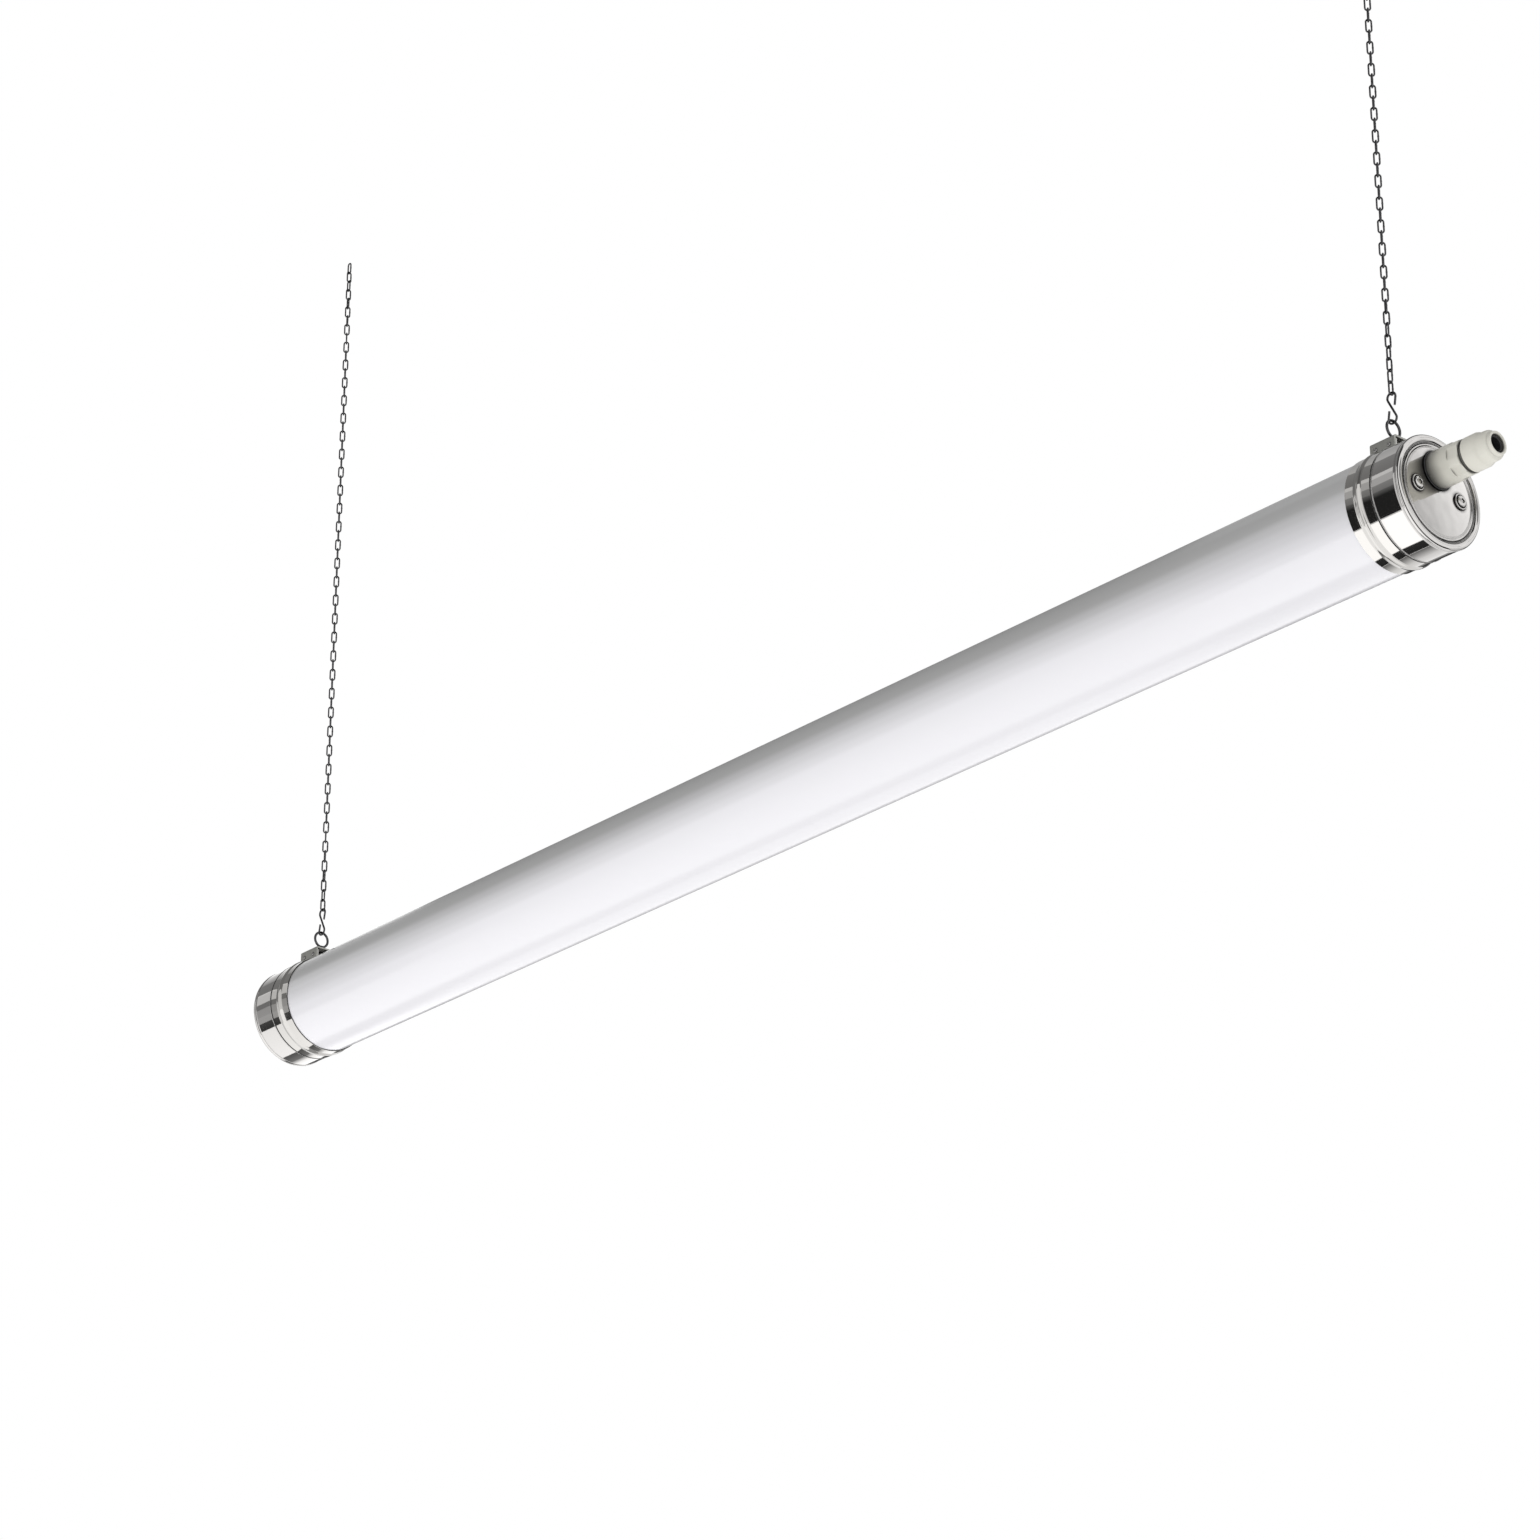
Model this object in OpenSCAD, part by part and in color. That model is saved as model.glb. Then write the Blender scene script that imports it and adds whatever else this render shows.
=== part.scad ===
// Hanging work light: an opal tube with a light tray inside, a pressed steel cap at each
// end, and two clamp brackets that hang from short-link chain on S-hooks.
// Origin: the inner top of the left chain's top link, where a ceiling hook bears.
// +X runs along the tube to the cable gland, +Z is up, and the front is -Y.

/* [Tube] */
// Outside diameter of the opal tube
tube_d = 80; // [76:1:100]
// Wall of the opal tube
tube_wall = 3; // [2:0.5:4]
// Distance between the two chains
span = 1205; // [900:5:1600]
// From a chain out to the rim of its end cap
overhang = 34.4; // [30:0.2:50]
// Running clearance of pieces that fit round or inside each other
fit = 0.1; // [0.05:0.01:0.15]

/* [Chain] */
// Links in each chain
links = 70; // [20:2:120]
// Wire of a chain link
link_wire = 1.3; // [1:0.05:1.4]
// Bend radius of a link, on the middle of its wire
link_bend = 1.95; // [1.9:0.05:3]
// Straight side of a link
link_leg = 6.5; // [5:0.1:12]
// Slack between two links, or a link and a hook
play = 0.1; // [0.05:0.01:0.2]
// Turn that the middle of a chain takes about its own line
chain_twist = -41.4; // [-45:0.2:45]
// Links over which that turn builds up at each end
twist_links = 8; // [8:1:10]

/* [S-hook] */
// Wire of an S-hook
hook_wire = 1.6; // [1.2:0.1:1.8]
// Loop radius of an S-hook, on the middle of its wire
hook_r = 3.6; // [3.4:0.1:4.5]
// Height of an S-hook between the wires at its top and its bottom
hook_drop = 23.4; // [20:0.2:32]
// Free end of an S-hook beyond its loop
hook_tail = 6; // [3:0.5:6.5]
// Angle at which a free end leans in
hook_lean = 10; // [6:1:12]

/* [Eye bolt] */
// Ring radius of an eye bolt, on the middle of its wire
eye_r = 6.5; // [5.5:0.1:8]
// Wire of the ring
eye_wire = 2; // [1.6:0.1:2.6]
// Shoulder between the ring and the saddle
eye_shoulder = 4.3; // [3:0.1:8]
// Diameter of that shoulder
eye_shoulder_d = 6.4; // [5.6:0.1:8]
// Thread diameter of the eye bolt
eye_shank_d = 4; // [3:0.5:4.5]
// Height of the nut under the saddle
eye_nut_h = 3.2; // [2:0.1:3.6]
// Thickness of the washer under the saddle
eye_washer_t = 0.8; // [0.5:0.1:1]

/* [Clamp bracket] */
// Width of the clamp band and its saddle along the tube
band_w = 22; // [18:1:30]
// Sheet of the clamp band
band_sheet = 0.8; // [0.6:0.1:1.2]
// Width of the raised bead round the middle of the band
bead_w = 7; // [5:0.5:10]
// Height of that bead
bead_h = 0.9; // [0.4:0.1:1.4]
// Width of the saddle across the tube
saddle_w = 25; // [22:1:32]
// Sheet of the saddle
saddle_sheet = 1.5; // [1:0.1:2]
// Height of the saddle's top above the tube
saddle_rise = 9.7; // [9.2:0.1:14]
// Outside corner radius of the saddle
saddle_corner = 1.8; // [1:0.1:2.5]
// Height of the band's upturned ears above the tube
ear_rise = 6.6; // [6:0.1:7.2]
// Shank diameter of a rivet
rivet_d = 2; // [1.6:0.1:2.4]
// Head diameter of a rivet
rivet_head_d = 3.2; // [3:0.1:3.8]
// Distance between the two rivets of an ear
rivet_pitch = 12; // [8:1:14]
// Height of the rivets above the tube
rivet_rise = 3.6; // [3:0.1:4.2]

/* [End caps] */
// Sheet of an end cap
cap_sheet = 0.6; // [0.5:0.1:0.8]
// Gap between a cap's skirt and its clamp band
cap_gap = 1; // [0.8:0.1:2]
// Radius of the rolled bead round a cap's rim
rim_r = 2.6; // [2:0.1:3]
// Height of a cap's flat face beyond its rim
face_h = 1; // [0.8:0.1:1.4]
// Depth of the groove beside the rolled bead, beyond the rim
groove_h = 0.6; // [0.6:0.05:0.8]
// Height of the thin ring inside the groove
ring_h = 1.6; // [1.4:0.1:2.2]
// Wall of the rubber seal under a cap's skirt
seal_wall = 0.3; // [0.2:0.05:0.5]
// Width of the seal's lip that shows beside the skirt
seal_lip = 0.7; // [0.4:0.1:0.7]
// Thickness of the seal over the end of the tube
seal_end = 0.8; // [0.5:0.1:1.5]

/* [Cap screws] */
// Distance between the two screws of a cap
screw_pitch = 42; // [36:1:44]
// Thread diameter of a cap screw
screw_d = 5; // [4:0.5:5]
// Head diameter of a cap screw
screw_head_d = 8.6; // [7.6:0.2:9]
// Head height of a cap screw
screw_head_h = 2.4; // [2:0.1:3]
// Width across flats of its hex socket
socket_af = 3; // [2.5:0.5:4]
// Diameter of the cup washer under a cap screw
cup_d = 11.4; // [10:0.2:12]
// Height of that washer
cup_h = 1.5; // [1:0.1:2]

/* [Cable gland] */
// Height of the gland above the middle of the tube
gland_rise = 16; // [15:0.5:17]
// Thread diameter of the gland
gland_thread_d = 20; // [18:1:20]
// Diameter of the gland's body
gland_d = 26.4; // [25:0.1:28]
// Width across flats of the body's grip and of the dome nut
gland_af = 24.6; // [24:0.1:25.4]
// Length of the gland's body outside the cap
gland_body_l = 26.6; // [22:0.2:30]
// Length of the gland's dome nut
gland_nut_l = 23.4; // [21:0.2:26]
// Diameter of the hole in the dome nut
gland_mouth_d = 13; // [12:0.2:13.6]
// Bore of the rubber seal that grips the supply cable
cable_bore_d = 10; // [8:0.2:11]
// Diameter of the gasket between the gland and the cap
gasket_d = 28; // [27:0.5:29]
// Thickness of that gasket
gasket_t = 1.2; // [0.8:0.1:2]

/* [Light tray] */
// Sheet of the aluminium tray
tray_sheet = 1.5; // [1:0.1:2]
// Height of the tray's underside above the middle of the tube
tray_rise = 5; // [4:0.1:5.4]
// Height of the tray's side flanges
tray_flange = 5; // [3:0.5:6]
// Space between the tray's flanges and the wall of the tube
tray_space = 1; // [0.8:0.1:1.4]
// Thickness of an end guide
guide_t = 4; // [3:0.5:6]
// Width of a light board
board_w = 40; // [30:1:46]
// Thickness of a light board
board_t = 1.6; // [1:0.1:2]
// Distance between two light emitters along a board
led_pitch = 24; // [20:1:40]

/* [Driver and wiring] */
// Length of the driver
driver_l = 280; // [200:5:320]
// Width of the driver
driver_w = 30; // [26:1:34]
// Height of the driver
driver_h = 21; // [18:1:23]
// Sheet of the driver's case
driver_sheet = 0.8; // [0.6:0.1:1]
// Length of the terminal block
block_l = 36; // [28:1:44]
// Width of the terminal block
block_w = 26; // [22:1:32]
// Height of the terminal block
block_h = 15; // [12:1:18]
// Diameter of an insulated wire
wire_d = 2.2; // [1.6:0.1:2.6]

/* [Hidden] */

steel = "#b9bcc0";
zinc = "#8c8e90";
chain_steel = "#77797c";
opal = "#eeeef2";
aluminium = "#c9ccd0";
rubber = "#1d1d1f";
grey_plastic = "#d3d4cb";
eps = 0.01;

// Heights, from the ceiling hook down to the middle of the tube
link_inner = link_leg / 2 + link_bend - link_wire / 2;
link_pitch = 2 * link_inner - play;
chain_end = -(2 * link_inner + (links - 1) * link_pitch);
hook_top = chain_end + play + hook_wire / 2;
hook_low = hook_top - hook_drop;
hook_seat = 0.2;
hook_straight = hook_wire - 0.04;
eye_z = hook_low + hook_wire / 2 + play - (eye_r - eye_wire / 2);
saddle_z = eye_z - eye_r - eye_wire / 2 - eye_shoulder;
tube_r = tube_d / 2;
axis_z = saddle_z - saddle_rise - tube_r;

// End caps: x is measured outward from the rim, r from the middle of the tube
cap_r = tube_r + 2 * fit + seal_wall + cap_sheet;
skirt = overhang - band_w / 2 - cap_gap;
bore_r = tube_r - tube_wall;
rim_c = cap_r - rim_r;
rim_end = 155;
groove_r = rim_c - rim_r - 0.7;
ring_r = groove_r - 1.5;
ring_foot_r = ring_r - 1.5;
face_r = ring_foot_r - 1;
cap_inside = groove_h - cap_sheet;
tube_end = cap_inside - fit - seal_end - fit;

// Clamp band and saddle: heights from the middle of the tube
band_in = tube_r + fit;
band_out = band_in + band_sheet;
saddle_in = saddle_w / 2 - saddle_sheet;
saddle_top = tube_r + saddle_rise;
web_z = saddle_top - saddle_sheet;
ear_in = saddle_in - band_sheet;
rivet_z = tube_r + rivet_rise;
rivet_head_h = 0.6;
bolt_end_z = web_z - eye_washer_t - eye_nut_h - 0.8;

// Tray: heights from the middle of the tube
tray_top = tray_rise + tray_sheet;
flange_z = tray_rise + tray_flange;
tray_half = sqrt(pow(bore_r - tray_space, 2) - pow(flange_z, 2));
tray_in = tube_end - 10;
guide_x = tray_in - 20;
yoke_t = 2.5;
yoke_x = tray_in + yoke_t + 2 * fit;
yoke_foot = 16;
yoke_foot_t = 2;
yoke_foot_z = tray_top + fit;
yoke_screw_d = 3;
yoke_screw_pitch = 34;
boards = 4;
board_run = span + 2 * (overhang + guide_x - guide_t) - 6;
board_gap = 2;
board_l = (board_run - (boards - 1) * board_gap) / boards;
board_x0 = -(overhang + guide_x - guide_t) + 3;
board_screw_d = 3;
driver_x = (span - driver_l) / 2;
driver_ear = 14;
driver_ear_w = 10;
driver_ear_y = 1 + driver_ear_w / 2 - driver_w / 2;
block_x = span - 50 - block_l;
terminals = 3;
terminal_pitch = (block_w - 4) / terminals;
stud_d = 4;
stud_x = block_x - 30;
stud_y = -terminal_pitch;
lead_z = tray_top + wire_d / 2 + fit;
led_lead_bend = lead_z - tray_rise;
led_lead_x = board_x0 + 40;

// Gland: x from the rim, at the height of the gland
gland_base = face_h + gasket_t;
gland_body_end = gland_base + gland_body_l;
neck_gap = 1.6;
gland_nut_start = gland_body_end + neck_gap;
gland_nut_end = gland_nut_start + gland_nut_l;
gland_neck_d = gland_af - 3.4;
gland_bore_d = gland_mouth_d + 1.4;
locknut_t = 5;
spigot_end = cap_inside - fit - locknut_t - 2;
seal_seat = gland_body_end - 4;

$fn = 64;

function arc(cx, cy, r, a0, a1, n = 8) =
    [for (i = [0:n]) let (a = a0 + (a1 - a0) * i / n) [cx + r * cos(a), cy + r * sin(a)]];

// A smooth step of the pressed face between two points [r, x], without its first point
function press(p, q, n = 6) =
    [for (i = [1:n]) [p[0] + (q[0] - p[0]) * i / n, p[1] + (q[1] - p[1]) * (1 - cos(180 * i / n)) / 2]];

module turned(profile) rotate([0, 90, 0]) rotate_extrude() polygon(profile);

// A rod along +X from x0 to x1
module rod(d, x0, x1) translate([x0, 0, 0]) rotate([0, 90, 0]) cylinder(d = d, h = x1 - x0);

// A hexagonal bar along +X
module hex_rod(af, x0, x1) translate([x0, 0, 0]) rotate([0, 90, 0])
    cylinder(d = af / cos(30), h = x1 - x0, $fn = 6);

// Places an end's pieces: side 1 is the gland end, side -1 the other; +X points outward
module at_end(side) translate([side > 0 ? span + overhang : -overhang, 0, axis_z])
    mirror([side > 0 ? 0 : 1, 0, 0]) children();

// Places a bracket's pieces under a chain, from the middle of the tube
module under_chain(side) translate([side > 0 ? span : 0, 0, axis_z]) children();

module at_axis() translate([0, 0, axis_z]) children();

// ---- Chain ----

// One of the four parts of a link: 0 and 1 are its bends, 2 and 3 its sides
module link_part(k) {
    if (k < 2)
        mirror([0, 0, k]) translate([0, 0, link_leg / 2]) rotate([90, 0, 0])
            rotate_extrude(angle = 180) translate([link_bend, 0]) circle(d = link_wire, $fn = 24);
    else
        translate([(2 * k - 5) * link_bend, 0, 0])
            cylinder(d = link_wire, h = link_leg, center = true, $fn = 24);
}

// Every other link stands across the last, and the middle of the chain is turned a little
function link_turn(i) =
    90 * (i % 2) + chain_twist * max(0, min(1, (i - 1) / twist_links, (links - 1 - i) / twist_links));

module chain_links(side, first, last) color(chain_steel)
    for (i = [first:last], k = [0:3])
        translate([side > 0 ? span : 0, 0, -link_inner - i * link_pitch])
            rotate([0, 0, link_turn(i)]) link_part(k);

module top_link_left() chain_links(-1, 0, 0);
module top_link_right() chain_links(1, 0, 0);
module sway_link_left() chain_links(-1, 1, 1);
module sway_link_right() chain_links(1, 1, 1);
module chain_left() chain_links(-1, 2, links - 1);
module chain_right() chain_links(1, 2, links - 1);

// ---- S-hooks ----

// One of the five parts of a hook: 0 is its middle, 1 and 2 its loops, 3 and 4 its free ends.
// The straight parts are a hair thinner than the loops and start just inside them
module s_part(k) {
    centre = hook_drop / 2 - hook_r;
    slope = asin(hook_r / centre);
    half = sqrt(centre * centre - hook_r * hook_r) + hook_seat;
    if (k == 0)
        rotate([0, -slope, 0]) cylinder(d = hook_straight, h = 2 * half, center = true, $fn = 32);
    else if (k < 3)
        rotate([0, 180 * k, 0]) translate([0, 0, centre]) rotate([90, hook_lean, 0])
            rotate_extrude(angle = 180 + slope + hook_lean)
                translate([hook_r, 0]) circle(d = hook_wire, $fn = 32);
    else
        rotate([0, 180 * k, 0]) translate([0, 0, centre]) rotate([0, hook_lean, 0])
            translate([hook_r, 0, -hook_tail])
                cylinder(d = hook_straight, h = hook_tail + hook_seat, $fn = 32);
}

module s_hook(side) color(zinc) translate([side > 0 ? span : 0, 0, (hook_top + hook_low) / 2])
    for (k = [0:4]) s_part(k);

module s_hook_left() s_hook(-1);
module s_hook_right() s_hook(1);

// ---- Eye bolts ----

module eye_bolt(side) color(zinc) translate([side > 0 ? span : 0, 0, 0]) {
    translate([0, 0, eye_z]) rotate([0, 90, 0])
        rotate_extrude() translate([eye_r, 0]) circle(d = eye_wire, $fn = 32);
    difference() {
        translate([0, 0, saddle_z])
            cylinder(d1 = eye_shoulder_d, d2 = eye_wire * 2, h = eye_shoulder + eye_wire * 0.7);
        translate([0, 0, eye_z]) rotate([0, 90, 0])
            cylinder(r = eye_r - eye_wire / 4, h = eye_shoulder_d * 2, center = true);
    }
    translate([0, 0, axis_z + bolt_end_z])
        cylinder(d = eye_shank_d, h = saddle_top - bolt_end_z + eps);
}

module eye_bolt_left() eye_bolt(-1);
module eye_bolt_right() eye_bolt(1);

module eye_washers() color(steel) for (side = [-1, 1]) under_chain(side)
    translate([0, 0, web_z - eye_washer_t]) difference() {
        cylinder(d = eye_shank_d * 2.2, h = eye_washer_t);
        translate([0, 0, -1]) cylinder(d = eye_shank_d + 2 * fit, h = eye_washer_t + 2);
    }

module eye_nuts() color(steel) for (side = [-1, 1]) under_chain(side)
    translate([0, 0, web_z - eye_washer_t - eye_nut_h]) difference() {
        cylinder(d = eye_shank_d * 1.75 / cos(30), h = eye_nut_h, $fn = 6);
        translate([0, 0, -1]) cylinder(d = eye_shank_d + 2 * fit, h = eye_nut_h + 2);
    }

// ---- Clamp brackets ----

// Outside of the band as [r, x], with the raised bead, moved outward by grow
function band_line(grow) = concat(
    [[band_out + grow, -band_w / 2 - 2 * grow], [band_out + grow, -bead_w / 2]],
    [for (i = [1:9]) [band_out + grow + bead_h * pow(sin(18 * i), 2), bead_w * (i / 10 - 0.5)]],
    [[band_out + grow, bead_w / 2], [band_out + grow, band_w / 2 + 2 * grow]]);

function back_line(line, depth) = [for (i = [len(line) - 1:-1:0]) line[i] - [depth, 0]];

module clamp_band(side) color(steel) under_chain(side) {
    difference() {
        turned(concat(band_line(0), back_line(band_line(0), band_sheet)));
        translate([-band_w, -ear_in, 0]) cube([2 * band_w, 2 * ear_in, tube_r * 2]);
    }
    for (front = [-1, 1]) difference() {
        translate([-band_w / 2, front > 0 ? ear_in : -saddle_in, 0])
            cube([band_w, band_sheet, tube_r + ear_rise]);
        rod(2 * band_in + band_sheet, -band_w, band_w);
        for (x = [-1, 1]) translate([x * rivet_pitch / 2, -front, rivet_z]) rotate([-front * 90, 0, 0])
            cylinder(d = rivet_d + 2 * fit, h = saddle_w);
    }
}

module clamp_band_left() clamp_band(-1);
module clamp_band_right() clamp_band(1);

// Section of the saddle across the tube: an inverted U with bent corners
function saddle_line(inset) = concat([[saddle_w / 2 - inset, 0]],
    arc(saddle_w / 2 - saddle_corner, saddle_top - saddle_corner, saddle_corner - inset, 0, 90, 5),
    arc(-saddle_w / 2 + saddle_corner, saddle_top - saddle_corner, saddle_corner - inset, 90, 180, 5),
    [[-saddle_w / 2 + inset, 0]]);

module saddle(side) color(zinc) under_chain(side) difference() {
    rotate([90, 0, 90]) translate([0, 0, -band_w / 2]) linear_extrude(band_w)
        difference() {
            polygon(saddle_line(0));
            translate([0, -1]) polygon([[saddle_in, 0], [saddle_in, web_z + 1], [-saddle_in, web_z + 1],
                [-saddle_in, 0]]);
        }
    turned(concat([[0, -band_w]], [[band_out + fit, -band_w]], band_line(fit),
        [[band_out + fit, band_w], [0, band_w]]));
    cylinder(d = eye_shank_d + 2 * fit, h = saddle_top + 1);
    for (x = [-1, 1]) translate([x * rivet_pitch / 2, 0, rivet_z]) rotate([90, 0, 0])
        cylinder(d = rivet_d + 2 * fit, h = saddle_w + 2, center = true);
}

module saddle_left() saddle(-1);
module saddle_right() saddle(1);

// Rivets through the saddle's legs and the band's ears, with a dimple in each outer head
module saddle_rivets(side) color(steel) under_chain(side)
    for (front = [-1, 1], x = [-1, 1]) translate([x * rivet_pitch / 2, 0, rivet_z])
        rotate([-front * 90, 0, 0]) rotate_extrude() polygon([[0, ear_in - rivet_head_h],
            [rivet_head_d / 2 - 0.3, ear_in - rivet_head_h], [rivet_head_d / 2, ear_in],
            [rivet_d / 2, ear_in], [rivet_d / 2, saddle_w / 2], [rivet_head_d / 2, saddle_w / 2],
            [rivet_head_d / 2 - 0.3, saddle_w / 2 + rivet_head_h],
            [rivet_head_d / 4, saddle_w / 2 + rivet_head_h], [0, saddle_w / 2 + rivet_head_h / 2]]);

module saddle_rivets_left() saddle_rivets(-1);
module saddle_rivets_right() saddle_rivets(1);

// ---- Tube and end caps ----

module opal_tube() color(opal) at_axis() difference() {
    rod(tube_d, -overhang - tube_end, span + overhang + tube_end);
    rod(2 * bore_r, -overhang - 1, span + overhang + 1);
}

// Outside of a cap from the mouth of its skirt to its middle, as [r, x]
function cap_line() = concat([[cap_r, -skirt]], arc(rim_c, 0, rim_r, 0, rim_end, 12),
    press([rim_c + rim_r * cos(rim_end), rim_r * sin(rim_end)], [groove_r, groove_h], 3),
    press([groove_r, groove_h], [ring_r, ring_h]), press([ring_r, ring_h], [ring_foot_r, face_h - 0.2]),
    press([ring_foot_r, face_h - 0.2], [face_r, face_h], 3), [[0, face_h]]);

module cap_shell() turned(concat(cap_line(),
    [[0, face_h - cap_sheet], [face_r, face_h - cap_sheet],
    [ring_foot_r, cap_inside], [groove_r, cap_inside]],
    arc(rim_c, 0, rim_r - cap_sheet, 165, 0, 10), [[cap_r - cap_sheet, -skirt]]));

module cap_screw_holes() for (y = [-1, 1]) translate([0, y * screw_pitch / 2, 0])
    rod(screw_d + 4 * fit, -5, 5);

module end_cap_left() color(steel) at_end(-1) difference() {
    cap_shell();
    cap_screw_holes();
}

module end_cap_right() color(steel) at_end(1) difference() {
    cap_shell();
    cap_screw_holes();
    translate([0, 0, gland_rise]) rod(gland_thread_d + 4 * fit, -5, 5);
}

// Rubber ring: a lip beside the skirt, a sleeve under it and a flange over the tube's end
module cap_seal(side) color(rubber) at_end(side) turned([
    [tube_r + fit, -skirt - seal_lip], [cap_r - fit, -skirt - seal_lip],
    [cap_r - fit, -skirt - fit / 2], [tube_r + fit + seal_wall, -skirt - fit / 2],
    [tube_r + fit + seal_wall, cap_inside - fit], [bore_r - 0.5, cap_inside - fit],
    [bore_r - 0.5, cap_inside - fit - seal_end], [tube_r + fit, cap_inside - fit - seal_end]]);

module cap_seal_left() cap_seal(-1);
module cap_seal_right() cap_seal(1);

module cup_washers(side) color(steel) at_end(side)
    for (y = [-1, 1]) translate([0, y * screw_pitch / 2, 0]) turned([
        [screw_d / 2 + fit, face_h], [cup_d / 2, face_h], [cup_d / 2, face_h + 0.4],
        [cup_d / 2 - 1, face_h + cup_h], [screw_head_d / 2 + fit, face_h + cup_h],
        [screw_head_d / 2 + fit, face_h + cup_h / 2], [screw_d / 2 + fit, face_h + cup_h / 2]]);

module cup_washers_left() cup_washers(-1);
module cup_washers_right() cup_washers(1);

module cap_screws(side) color(steel) at_end(side)
    for (y = [-1, 1]) translate([0, y * screw_pitch / 2, 0]) difference() {
        turned(concat([[0, yoke_x - yoke_t - 3], [screw_d / 2, yoke_x - yoke_t - 3],
            [screw_d / 2, face_h + cup_h / 2], [screw_head_d / 2, face_h + cup_h / 2]],
            arc(screw_head_d / 2 - screw_head_h * 0.7, face_h + cup_h / 2 + screw_head_h * 0.3,
                screw_head_h * 0.7, 0, 90, 5),
            [[0, face_h + cup_h / 2 + screw_head_h]]));
        hex_rod(socket_af, face_h + cup_h / 2 + screw_head_h * 0.35, face_h + cup_h + screw_head_h + 1);
    }

module cap_screws_left() cap_screws(-1);
module cap_screws_right() cap_screws(1);

// ---- Yokes that the cap screws pull on, and the guides that centre the tray ----

module yoke(side) color(zinc) at_end(side) difference() {
    union() {
        translate([yoke_x - yoke_t, -screw_pitch / 2 - 7, -7])
            cube([yoke_t, screw_pitch + 14, 7 + yoke_foot_z + yoke_foot_t]);
        translate([yoke_x - yoke_t - yoke_foot, -screw_pitch / 2 - 4, yoke_foot_z])
            cube([yoke_foot + eps, screw_pitch + 8, yoke_foot_t]);
    }
    for (y = [-1, 1]) {
        translate([0, y * screw_pitch / 2, 0]) rod(screw_d + 2 * fit, yoke_x - yoke_t - 1, yoke_x + 1);
        translate([yoke_x - yoke_t - yoke_foot / 2, y * yoke_screw_pitch / 2, tray_rise])
            cylinder(d = yoke_screw_d + 2 * fit, h = 10);
    }
}

module yoke_left() yoke(-1);
module yoke_right() yoke(1);

module yoke_screws() color(steel) for (side = [-1, 1], y = [-1, 1]) at_end(side)
    translate([yoke_x - yoke_t - yoke_foot / 2, y * yoke_screw_pitch / 2, tray_rise - 1])
        rotate_extrude() polygon(concat([[0, 0], [yoke_screw_d / 2 - 0.3, 0], [yoke_screw_d / 2, 0.3],
            [yoke_screw_d / 2, yoke_foot_z + yoke_foot_t - tray_rise + 1],
            [yoke_screw_d, yoke_foot_z + yoke_foot_t - tray_rise + 1]],
            [[yoke_screw_d, yoke_foot_z + yoke_foot_t - tray_rise + 2],
            [yoke_screw_d - 0.8, yoke_foot_z + yoke_foot_t - tray_rise + 2.6],
            [0, yoke_foot_z + yoke_foot_t - tray_rise + 2.8]]));

// Section of the tray across the tube: a flat web with upturned flanges, moved out by grow
module tray_section(grow) polygon([
    [-tray_half - grow, tray_rise - grow], [tray_half + grow, tray_rise - grow],
    [tray_half + grow, flange_z + grow], [tray_half - tray_sheet - grow, flange_z + grow],
    [tray_half - tray_sheet - grow, tray_top + grow], [-tray_half + tray_sheet + grow, tray_top + grow],
    [-tray_half + tray_sheet + grow, flange_z + grow], [-tray_half - grow, flange_z + grow]]);

// An extrusion along +X of a section drawn across the tube
module along(x0, x1) translate([x0, 0, 0]) rotate([90, 0, 90]) linear_extrude(x1 - x0) children();

module end_guide(side) color(grey_plastic) at_end(side) difference() {
    along(guide_x - guide_t, guide_x) difference() {
        circle(r = bore_r - 2 * fit);
        intersection() {
            circle(r = bore_r - 4);
            union() {
                translate([-bore_r, -bore_r]) square([2 * bore_r, bore_r + tray_rise - 4]);
                translate([-bore_r, tray_top + 3]) square([2 * bore_r, bore_r]);
            }
        }
    }
    along(guide_x - guide_t - 1, guide_x + 1) tray_section(fit);
}

module end_guide_left() end_guide(-1);
module end_guide_right() end_guide(1);

// ---- Tray, light boards and what is fixed to them ----

// Places the board screws: two at each end of each board
module board_screw_places() for (b = [0:boards - 1], e = [0, 1], y = [-1, 1])
    translate([board_x0 + b * (board_l + board_gap) + (e ? board_l - 12 : 12), y * (board_w / 2 - 4), 0])
        children();

module driver_screw_places() for (x = [driver_x - driver_ear / 2, driver_x + driver_l + driver_ear / 2])
    translate([x, driver_ear_y, 0]) children();

module gear_tray() color(aluminium) at_axis() difference() {
    along(-overhang - tray_in, span + overhang + tray_in) tray_section(0);
    board_screw_places() translate([0, 0, tray_rise - 1]) cylinder(d = board_screw_d + 2 * fit, h = 4);
    driver_screw_places() translate([0, 0, tray_rise - 1]) cylinder(d = yoke_screw_d + 2 * fit, h = 4);
    for (side = [-1, 1], y = [-1, 1])
        translate([side > 0 ? span + overhang : -overhang, y * yoke_screw_pitch / 2, tray_rise - 1])
            translate([side * (yoke_x - yoke_t - yoke_foot / 2), 0, 0])
                cylinder(d = yoke_screw_d + 2 * fit, h = 4);
    for (y = [-1, 1])
        translate([led_lead_x - wire_d / 2 - 2 * fit, (y - 0.5) * wire_d - 2 * fit, tray_rise - 1])
            cube([led_lead_bend + wire_d / 2, wire_d + 4 * fit, 4]);
    translate([stud_x, stud_y, tray_rise - 1]) cylinder(d = stud_d + 2 * fit, h = 4);
}

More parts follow.
